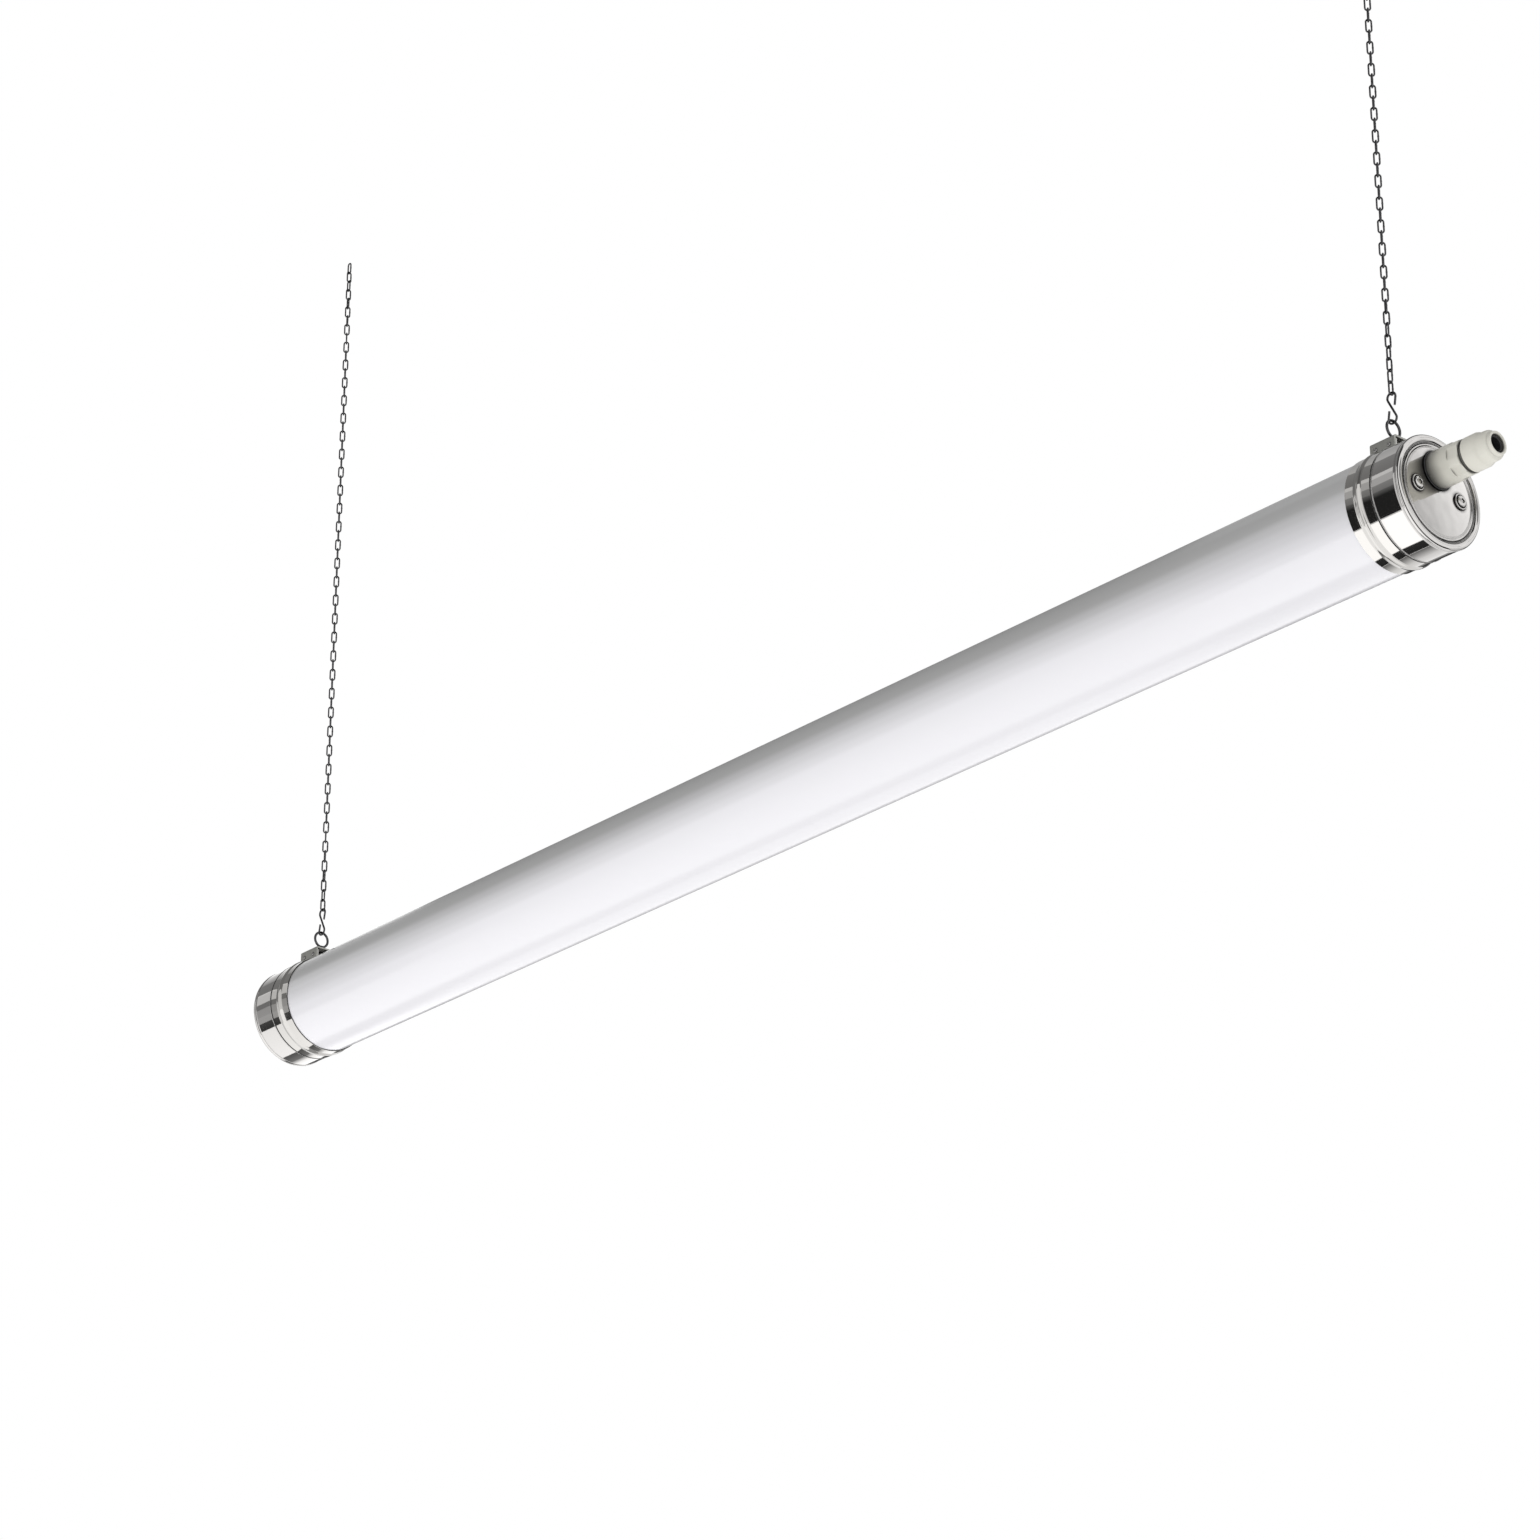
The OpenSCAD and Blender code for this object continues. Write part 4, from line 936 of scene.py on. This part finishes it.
class WORKLIGHT_OT_clamp_brackets(Operator):
    """Clamp bands with their beads and ears, saddles with bent corners, and rivets"""

    bl_idname = "work_light.clamp_brackets"
    bl_label = "Clamp brackets"

    def execute(self, context):
        settings = context.scene.work_light_clamp
        steel = context.scene.work_light_steel
        polished = polished_stainless_steel("polished_stainless_strip", list(steel.band),
                                            roughness=0.05, shade_reach=1.6)
        zinc = zinc_plated_steel("zinc_plated_sheet", list(steel.zinc), roughness=0.36, grain=0.8)
        rivet_steel = turned_stainless_steel("headed_rivet_steel", shade(steel.screw, 0.7))
        for side in OUTWARD:
            self.add_band(settings, polished, side)
            self.add_saddle(settings, zinc, side)
            self.add_rivets(settings, rivet_steel, side)
        return {"FINISHED"}

    def band_path(self, settings, radius, top):
        """Middle of the band's sheet from the front ear's top round to the rear ear's top, as
        (y, z, outward y, outward z, share of the bead)."""
        bend, ear = settings.ear_bend, settings.ear
        centre_y = ear + bend
        centre_z = math.sqrt((radius + bend) ** 2 - centre_y ** 2)
        start = math.atan2(centre_y, centre_z)
        half = [(-ear, top, -1.0, 0.0, 0.0), (-ear, (top + centre_z) / 2, -1.0, 0.0, 0.0)]
        for i in range(7):
            share = i / 6
            angle = share * (math.pi / 2 - start)
            out_y, out_z = -math.cos(angle), math.sin(angle)
            half.append((-centre_y - bend * out_y, centre_z - bend * out_z, out_y, out_z,
                         share ** 2))
        count = 60
        for i in range(1, count + 1):
            angle = start + (math.pi - start) * i / count
            half.append((-radius * math.sin(angle), radius * math.cos(angle),
                         -math.sin(angle), math.cos(angle), 1.0))
        return half + [(-y, z, -out_y, out_z, share)
                       for y, z, out_y, out_z, share in reversed(half[:-1])]

    def add_band(self, settings, steel, side):
        """One strip of sheet with the bead pressed into it, bent round and up into two ears."""
        low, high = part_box(f"clamp_band_{side}")
        sheet = settings.sheet
        radius = AXIS.z - low.z - PACKED_BEAD - sheet / 2
        stations = across_strip(settings, high.x - low.x, 0.15 * MM)
        rings = []
        for y, z, out_y, out_z, share in self.band_path(settings, radius, high.z - AXIS.z):
            ring = []
            for front in (1, -1):
                for x, cut in stations if front > 0 else reversed(stations):
                    rise = bead_rise(settings, x) * share + front * (sheet / 2 - cut)
                    ring.append(Vector((CHAIN_X[side] + x, y + out_y * rise,
                                        AXIS.z + z + out_z * rise)))
            rings.append(ring)
        shape = bmesh.new()
        add_skin(shape, rings)
        new_piece(f"beaded_clamp_band_{side}", shape, steel, CLAMPS, "polished_steel",
                  f"clamp_band_{side}")

    def add_saddle(self, settings, zinc, side):
        """A strip bent into an inverted U, whose legs stop just above the band."""
        low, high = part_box(f"saddle_{side}")
        half, top = high.y, high.z
        sheet, bend = settings.saddle_sheet, settings.saddle_bend
        plain = AXIS.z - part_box(f"clamp_band_{side}")[0].z - PACKED_BEAD + settings.slit
        edge, round_in = 0.12 * MM, 0.3 * MM

        def foot(x, y, cut):
            return AXIS.z + math.sqrt((plain + bead_rise(settings, x)) ** 2 - y ** 2) + cut + edge

        shape = bmesh.new()
        rings = []
        for x, cut in across_strip(settings, high.x - low.x, edge):
            outer = [(half - cut, foot(x, half, cut))]
            for i in range(9):
                angle = math.pi / 2 * i / 8
                outer.append((half - bend + (bend - cut) * math.cos(angle),
                              top - bend + (bend - cut) * math.sin(angle)))
            inner_half = half - sheet + cut
            inner = [(inner_half, foot(x, inner_half, cut))]
            for i in range(5):
                angle = math.pi / 2 * i / 4
                inner.append((inner_half - round_in * (1 - math.cos(angle)),
                              top - sheet - round_in * (1 - math.sin(angle)) + cut))
            outer += [(-y, z) for y, z in reversed(outer)]
            inner += [(-y, z) for y, z in reversed(inner)]
            rings.append([Vector((CHAIN_X[side] + x, y, z)) for y, z in outer + inner[::-1]])
        add_skin(shape, rings)
        new_piece(f"bent_saddle_{side}", shape, zinc, CLAMPS, "zinc_sheet", f"saddle_{side}")

    def add_rivets(self, settings, steel, side):
        """Four rivets with a dimple where the punch has spread each outer head."""
        low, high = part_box(f"saddle_rivets_{side}")
        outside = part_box(f"saddle_{side}")[1].y
        inside = settings.ear - settings.sheet / 2
        height = high.y - outside
        head, shank = (high.z - low.z) / 2, 1 * MM
        reach = (high.x - low.x) / 2 - head
        profile = [(inside - height, 0.2 * MM), (inside - height, head - 0.3 * MM),
                   (inside - height * 0.5, head - 0.05 * MM), (inside, head),
                   (inside, shank), (outside, shank)]
        for degrees in range(0, 91, 15):
            angle = math.radians(degrees)
            profile.append((outside + height * math.sin(angle),
                            head * (0.55 + 0.45 * math.cos(angle))))
        for degrees in range(0, 76, 15):
            angle = math.radians(degrees)
            profile.append((outside + height * (1 - 0.5 * math.sin(angle)),
                            head * 0.5 * math.cos(angle)))
        shape = bmesh.new()
        for front in (-1, 1):
            turned = Matrix.Rotation(front * math.pi / 2, 4, "Z")
            for x in (-reach, reach):
                place = Matrix.Translation((CHAIN_X[side] + x, 0, (low.z + high.z) / 2)) @ turned
                add_turned(shape, profile, place, steps=32)
        new_piece(f"headed_rivets_{side}", shape, steel, CLAMPS, "fastener_steel",
                  f"saddle_rivets_{side}")


# ---- Chains, hooks and eye bolts ----

def link_place(settings, side, number):
    """Middle of a link and its plane's angle about the chain's line."""
    inner = settings.leg / 2 + settings.bend - settings.wire / 2
    pitch = 2 * inner - settings.play
    share = max(0, min(1, (number - 1) / settings.twist_links,
                       (settings.links - 1 - number) / settings.twist_links))
    angle = math.pi / 2 * (number % 2) + settings.twist * share
    return Vector((CHAIN_X[side], 0, -inner - number * pitch)), angle


def add_link(shape, settings, side, number):
    """One welded link: two straight sides, two bends, and a bulge where its ends were welded."""
    centre, angle = link_place(settings, side, number)
    width = Vector((math.cos(angle), math.sin(angle), 0))
    across = Vector((-math.sin(angle), math.cos(angle), 0))
    half, bend, wire = settings.leg / 2, settings.bend, settings.wire / 2
    weld_length = 0.5 * MM
    path, radii = [], []
    for way in (1, -1):
        for i in range(9):
            along = way * half * (i / 4 - 1)
            weld = math.exp(-(along / weld_length) ** 2) if way > 0 else 0
            path.append(centre + way * bend * width + Vector((0, 0, along)))
            radii.append(wire + settings.weld * weld)
        for i in range(1, 12):
            turned = math.pi * i / 12
            path.append(centre + way * bend * math.cos(turned) * width
                        + Vector((0, 0, way * (half + bend * math.sin(turned)))))
            radii.append(wire)
    add_wire(shape, path, radii, across, loop=True)


class WORKLIGHT_OT_chains(Operator):
    """Two short-link chains: the links on the ceiling hooks, the next ones, and the runs"""

    bl_idname = "work_light.chains"
    bl_label = "Chains"

    def execute(self, context):
        settings = context.scene.work_light_chain
        wire = zinc_plated_steel("zinc_plated_chain_wire",
                                 list(context.scene.work_light_steel.wire),
                                 roughness=0.24, grain=0.5)
        for side in OUTWARD:
            runs = (("hung_link", "top_link", "ceiling_links", 0, 1),
                    ("second_link", "sway_link", "sway_links", 1, 2),
                    ("welded_chain", "chain", f"{side}_chain", 2, settings.links))
            for name, node, body, first, last in runs:
                shape = bmesh.new()
                for number in range(first, last):
                    add_link(shape, settings, side, number)
                new_piece(f"{name}_{side}", shape, wire, body, "chain_steel", f"{node}_{side}")
        return {"FINISHED"}


class WORKLIGHT_OT_hooks(Operator):
    """Two S-hooks bent from plated wire"""

    bl_idname = "work_light.hooks"
    bl_label = "S-hooks"

    def execute(self, context):
        settings = context.scene.work_light_hook
        wire = zinc_plated_steel("zinc_plated_hook_wire",
                                 shade(context.scene.work_light_steel.wire, 0.85),
                                 roughness=0.2, grain=0.6)
        for side in OUTWARD:
            low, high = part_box(f"s_hook_{side}")
            centre = middle(f"s_hook_{side}")
            drop = high.z - low.z - settings.wire
            shape = bmesh.new()
            path = [centre + Vector((x, 0, z)) for x, z in self.half_path(settings, drop)]
            path += [2 * centre - point for point in reversed(path)]
            points, radii = rounded_ends(path, settings.wire / 2)
            add_wire(shape, points, radii, Vector((0, 1, 0)), sides=16)
            new_piece(f"bent_s_hook_{side}", shape, wire, f"{side}_hook", "hook_steel",
                      f"s_hook_{side}")
        return {"FINISHED"}

    def half_path(self, settings, drop):
        """Upper half, from the free end round the loop to near the middle, as (x, z)."""
        loop, lean = settings.loop, settings.lean
        height = drop / 2 - loop
        slope = math.asin(loop / height)
        points = []
        for i in range(5):
            left = settings.tail * (1 - i / 5)
            points.append((loop * math.cos(lean) - left * math.sin(lean),
                           height - loop * math.sin(lean) - left * math.cos(lean)))
        count = 28
        for i in range(count + 1):
            angle = -lean + (math.pi + slope + lean) * i / count
            points.append((loop * math.cos(angle), height + loop * math.sin(angle)))
        end = points[-1]
        for share in (0.66, 0.33):
            points.append((end[0] * share, end[1] * share))
        return points


class WORKLIGHT_OT_eye_bolts(Operator):
    """Forged eye bolts through the saddles, with their washers and nuts"""

    bl_idname = "work_light.eye_bolts"
    bl_label = "Eye bolts"

    def execute(self, context):
        settings = context.scene.work_light_hook
        steel = context.scene.work_light_steel
        zinc = zinc_plated_steel("zinc_plated_eye_bolt", shade(steel.wire, 0.9),
                                 roughness=0.22, grain=0.6)
        bright = turned_stainless_steel("bright_nut_steel", list(steel.screw))
        nuts, washers = bmesh.new(), bmesh.new()
        washer_low, washer_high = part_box("eye_washers")
        nut_low, nut_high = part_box("eye_nuts")
        bore = settings.shank / 2 + 0.1 * MM
        flats, chamfer, edge = settings.nut, 0.35 * MM, 0.1 * MM
        corner = flats / 2 / math.cos(math.pi / 6)
        height = nut_high.z - nut_low.z
        nut = [(0, bore), (0, corner - chamfer, flats), (chamfer * 0.6, corner, flats),
               (height - chamfer * 0.6, corner, flats), (height, corner - chamfer, flats),
               (height, bore)]
        outer = (washer_high.y - washer_low.y) / 2
        thick = washer_high.z - washer_low.z
        washer = [(0, bore), (0, outer - edge), (edge, outer), (thick - edge, outer),
                  (thick, outer - edge), (thick, bore)]
        for side in OUTWARD:
            self.add_eye(settings, zinc, side)
            add_turned(nuts, nut, upright(CHAIN_X[side], 0, nut_low.z), steps=72, loop=True)
            add_turned(washers, washer, upright(CHAIN_X[side], 0, washer_low.z), steps=64,
                       loop=True)
        new_piece("hex_nuts", nuts, bright, CLAMPS, "fastener_steel", "eye_nuts")
        new_piece("flat_washers", washers, bright, CLAMPS, "fastener_steel", "eye_washers")
        return {"FINISHED"}

    def add_eye(self, settings, zinc, side):
        """A closed ring, the shoulder that it grows out of and the threaded shank."""
        low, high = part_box(f"eye_bolt_{side}")
        saddle_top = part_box(f"saddle_{side}")[1].z
        centre = Vector((CHAIN_X[side], 0, high.z - settings.eye - settings.eye_wire / 2))
        shape = bmesh.new()
        count = 72
        ring = []
        for i in range(count):
            angle = FULL_TURN * i / count
            ring.append(centre + settings.eye * Vector((0, math.sin(angle), math.cos(angle))))
        add_wire(shape, ring, [settings.eye_wire / 2] * count, Vector((1, 0, 0)), loop=True,
                 sides=20)
        bottom = low.z - saddle_top
        neck = centre.z - settings.eye - saddle_top
        shoulder, shank, pitch = settings.shoulder / 2, settings.shank / 2, settings.pitch
        profile = [(bottom, 0.3 * MM), (bottom, shank - 0.5 * MM)]
        profile += thread(bottom + 0.2 * MM, -pitch, pitch, shank - 0.35 * MM, shank)
        profile += [(-0.1 * MM, shank - 0.3 * MM), (0, shoulder - 0.3 * MM)]
        edge, count = 0.25 * MM, 8
        for i in range(count + 1):
            share = i / count
            profile.append((edge + (neck - edge) * share,
                            shoulder - (shoulder - settings.eye_wire) * share ** 0.7))
        inside_ring = neck + settings.eye_wire * 0.3
        profile += [(inside_ring, settings.eye_wire * 0.8), (inside_ring, 0.2 * MM)]
        add_turned(shape, profile, upright(CHAIN_X[side], 0, saddle_top), steps=40)
        new_piece(f"forged_eye_bolt_{side}", shape, zinc, CLAMPS, "hook_steel",
                  f"eye_bolt_{side}")


# ---- Cable gland ----

class WORKLIGHT_OT_cable_gland(Operator):
    """Moulded cable gland: gasket, body, rubber sleeve, dome nut and locknut"""

    bl_idname = "work_light.cable_gland"
    bl_label = "Cable gland"

    def execute(self, context):
        settings = context.scene.work_light_gland
        plastic = moulded_polyamide("moulded_grey_polyamide", list(settings.body))
        rubber = black_rubber("gland_rubber")
        place = along_x(0, 0, middle("gland_body").z)
        self.add_gasket(rubber, place)
        self.add_body(settings, plastic, place)
        self.add_nut(settings, plastic, place)
        self.add_sleeve(settings, rubber, place)
        finish_node("gland_locknut", plastic)
        return {"FINISHED"}

    def add_gasket(self, rubber, place):
        """A flat rubber washer with a rounded outer edge."""
        low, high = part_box("gland_gasket")
        radius, half = (high.z - low.z) / 2, (high.x - low.x) / 2
        hole = 10.1 * MM
        shape = bmesh.new()
        profile = ([(low.x, hole)] + arc(low.x + half, radius - half, half, -90, 90, count=10)
                   + [(high.x, hole)])
        add_turned(shape, profile, place, steps=96, loop=True)
        new_piece("gland_sealing_washer", shape, rubber, LIGHT, "rubber", "gland_gasket")

    def add_body(self, settings, plastic, place):
        """A round barrel that ends in a hexagonal grip, with the thread on both sides."""
        low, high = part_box("gland_body")
        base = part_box("gland_gasket")[1].x
        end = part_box("gland_nut")[0].x - 1.6 * MM
        radius, grip = (high.z - low.z) / 2, settings.grip
        bore = settings.mouth / 2 + 0.7 * MM
        screwed, pitch, root = settings.thread / 2, 1.5 * MM, 0.55 * MM
        neck, neck_pitch, neck_root = grip / 2 - 1.7 * MM, 1.8 * MM, 0.6 * MM
        wall, seat = neck - 2 * MM, end - 4 * MM
        # The thread through the cap, with the locknut on it
        profile = [(low.x, bore), (low.x, screwed - 0.6 * MM)]
        profile += thread(low.x + 0.3 * MM, base - 1.6 * pitch, pitch, screwed - root, screwed)
        # The round foot, and the flats up to the groove under the dome nut
        profile += [(base, screwed), (base, radius - 0.5 * MM),
                    (base + 0.15 * MM, radius - 0.15 * MM), (base + 0.5 * MM, radius),
                    (end - 9.3 * MM, radius), (end - 9.0 * MM, radius),
                    (end - 8.7 * MM, radius, grip), (end - 1.0 * MM, radius, grip),
                    (end - 0.4 * MM, radius - 0.35 * MM, grip), (end, radius - 1.1 * MM, grip),
                    (end, neck)]
        # The thread inside the dome nut, and the wider bore that takes the rubber sleeve
        profile += thread(end + 0.2 * MM, end + 9 * MM, neck_pitch, neck, neck - neck_root)
        profile += [(high.x, neck - 0.4 * MM), (high.x, wall), (seat, wall), (seat, bore)]
        shape = bmesh.new()
        add_turned(shape, profile, place, steps=144, loop=True)
        new_piece("moulded_gland_body", shape, plastic, LIGHT, "grey_plastic", "gland_body")

    def add_nut(self, settings, plastic, place):
        """A hexagonal dome nut: chamfered flats, a shoulder and a rounded lip."""
        low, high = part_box("gland_nut")
        start, end = low.x, high.x
        radius, grip, mouth = (high.y - low.y) / 2, settings.grip, settings.mouth / 2
        neck = grip / 2 - 1.6 * MM
        lip, shoulder = 1.3 * MM, 3.4 * MM
        # Chamfered flats, a slope up to the dome, and the lip that curls into the mouth
        flats = [(start, radius - 1.6 * MM, grip), (start + 0.3 * MM, radius - 1.0 * MM, grip),
                 (start + 1.1 * MM, radius, grip), (start + 10.2 * MM, radius, grip),
                 (start + 11.2 * MM, radius - 0.35 * MM, grip),
                 (start + 12.4 * MM, radius - 0.8 * MM, grip)]
        dome = ([(start + 13.4 * MM, radius - 1.25 * MM)]
                + arc(end - 5.6 * MM, radius - 4.9 * MM, shoulder, 12, 62)
                + arc(end - lip, mouth + lip, lip, 58, 180, count=10))
        # The mouth behind the lip widens to the bore over the body's thread
        inside = [(end - 8 * MM, mouth), (end - 12 * MM, neck - 1 * MM),
                  (end - 13 * MM, neck), (start + 0.4 * MM, neck), (start, neck + 0.4 * MM)]
        profile = flats + dome + inside
        shape = bmesh.new()
        add_turned(shape, profile, place, steps=144, loop=True)
        new_piece("moulded_dome_nut", shape, plastic, LIGHT, "grey_plastic", "gland_nut")

    def add_sleeve(self, settings, rubber, place):
        """The rubber sleeve inside, with its mouth a little behind the nut's lip."""
        low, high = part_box("gland_seal")
        bore = settings.cable / 2
        outer = (high.z - low.z) / 2
        tip = settings.mouth / 2 - 0.25 * MM
        taper, nose, edge = high.x - 8 * MM, high.x - 4 * MM, 0.4 * MM
        profile = [(low.x, bore), (low.x, outer), (taper, outer), (nose, tip),
                   (high.x - edge, tip), (high.x, tip - edge),
                   (high.x, bore + 0.5 * MM), (high.x - 0.5 * MM, bore)]
        shape = bmesh.new()
        add_turned(shape, profile, place, steps=96, loop=True)
        new_piece("gland_rubber_sleeve", shape, rubber, LIGHT, "rubber", "gland_seal")


# ---- Inside the tube ----

class WORKLIGHT_OT_gear_tray(Operator):
    """Tray, guides, yokes, driver and the screws that hold them"""

    bl_idname = "work_light.gear_tray"
    bl_label = "Gear tray"

    def execute(self, context):
        steel = context.scene.work_light_steel
        aluminium = extruded_aluminium("mill_finish_aluminium")
        galvanised = galvanised_steel("galvanised_sheet")
        screws = turned_stainless_steel("inner_screw_steel", list(steel.screw))
        plastic = moulded_polyamide("moulded_guide_polyamide", linear("#cfd0c8"))
        finish_node("gear_tray", aluminium)
        finish_node("driver_cover", galvanised)
        finish_node("driver_base", galvanised)
        for side in OUTWARD:
            finish_node(f"yoke_{side}", galvanised)
            finish_node(f"end_guide_{side}", plastic)
        for node in ("yoke_screws", "board_screws", "driver_screws"):
            finish_node(node, screws)
        return {"FINISHED"}


class WORKLIGHT_OT_light_boards(Operator):
    """Light boards with a phosphor lens on each emitter, and their connectors"""

    bl_idname = "work_light.light_boards"
    bl_label = "Light boards"

    def execute(self, context):
        board = solder_resist("white_solder_resist")
        plastic = moulded_polyamide("white_connector_nylon", linear("#e8e8e2"))
        phosphor = phosphor_silicone("yellow_phosphor_silicone")
        for number in (1, 2, 3, 4):
            node = f"led_board_{number}"
            finish_node(node, board)
            self.add_lenses(node, number, phosphor)
        finish_node("board_connectors", plastic)
        return {"FINISHED"}

    def add_lenses(self, node, number, phosphor):
        """A round phosphor lens under each emitter, in the two rows of the board."""
        low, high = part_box(node)
        row = (high.y - low.y) / 5
        count = math.floor((high.x - low.x - EMITTER_PITCH) / EMITTER_PITCH)
        lens = [(-0.1 * MM, 1.1 * MM), (0.02 * MM, 1.1 * MM), (0.12 * MM, 0.8 * MM),
                (0.18 * MM, 0.3 * MM)]
        down = Matrix.Rotation(math.pi / 2, 4, "Y")
        shape = bmesh.new()
        for i in range(count):
            x = (low.x + high.x) / 2 + (i - (count - 1) / 2) * EMITTER_PITCH
            for y in (-row, row):
                place = Matrix.Translation((x, y, low.z)) @ down
                add_turned(shape, lens, place, steps=16)
        new_piece(f"phosphor_lenses_{number}", shape, phosphor, LIGHT, "light_board")


class WORKLIGHT_OT_wiring(Operator):
    """Terminal block, wires and the earth stud"""

    bl_idname = "work_light.wiring"
    bl_label = "Wiring"

    def execute(self, context):
        plastic = moulded_polyamide("terminal_polyamide", linear("#dcdcd4"))
        screws = turned_stainless_steel("terminal_screw_steel", linear("#c4c2be"))
        brass = turned_brass("turned_brass")
        supply = wire_insulation("supply_wire_pvc", linear("#2f5fa8"), linear("#6d4a2f"),
                                 middle("supply_leads").y)
        output = wire_insulation("output_wire_pvc", linear("#1d1d20"), linear("#c8321e"), 0.0)
        stripe = 0.4 * MM
        earth = wire_insulation("earth_wire_pvc", linear("#3f8a3a"), linear("#d9c93a"),
                                middle("earth_stud").y + stripe)
        finish_node("terminal_block", plastic)
        finish_node("terminal_screws", screws)
        finish_node("supply_leads", supply)
        finish_node("led_leads", output)
        finish_node("earth_lead", earth)
        finish_node("earth_stud", brass)
        return {"FINISHED"}


# ---- Panel and registration ----

STEPS = (
    WORKLIGHT_OT_studio, WORKLIGHT_OT_opal_tube, WORKLIGHT_OT_end_caps,
    WORKLIGHT_OT_cap_screws, WORKLIGHT_OT_clamp_brackets, WORKLIGHT_OT_chains,
    WORKLIGHT_OT_hooks, WORKLIGHT_OT_eye_bolts, WORKLIGHT_OT_cable_gland,
    WORKLIGHT_OT_gear_tray, WORKLIGHT_OT_light_boards, WORKLIGHT_OT_wiring,
)


class WORKLIGHT_PT_panel(Panel):
    """Lists the settings and the steps that build the work light"""

    bl_idname = "WORKLIGHT_PT_panel"
    bl_label = "Work light"
    bl_space_type = "VIEW_3D"
    bl_region_type = "UI"
    bl_category = "Work light"

    def draw(self, context):
        for name, settings in SETTINGS.items():
            box = self.layout.box()
            box.label(text=settings.__doc__)
            group = getattr(context.scene, f"work_light_{name}")
            for setting in settings.__annotations__:
                box.prop(group, setting)
        for step in STEPS:
            self.layout.operator(step.bl_idname)


def register():
    """Registers the settings, the steps and the panel."""
    for settings in SETTINGS.values():
        bpy.utils.register_class(settings)
    for name, settings in SETTINGS.items():
        setattr(bpy.types.Scene, f"work_light_{name}", PointerProperty(type=settings))
    for cls in (*STEPS, WORKLIGHT_PT_panel):
        bpy.utils.register_class(cls)


def unregister():
    """Removes what register() has added."""
    for cls in reversed((*STEPS, WORKLIGHT_PT_panel)):
        bpy.utils.unregister_class(cls)
    for name, settings in SETTINGS.items():
        delattr(bpy.types.Scene, f"work_light_{name}")
        bpy.utils.unregister_class(settings)


def main():
    """Builds everything."""
    register()
    for step in STEPS:
        group, name = step.bl_idname.split(".")
        getattr(getattr(bpy.ops, group), name)()


if __name__ == "__main__":
    main()
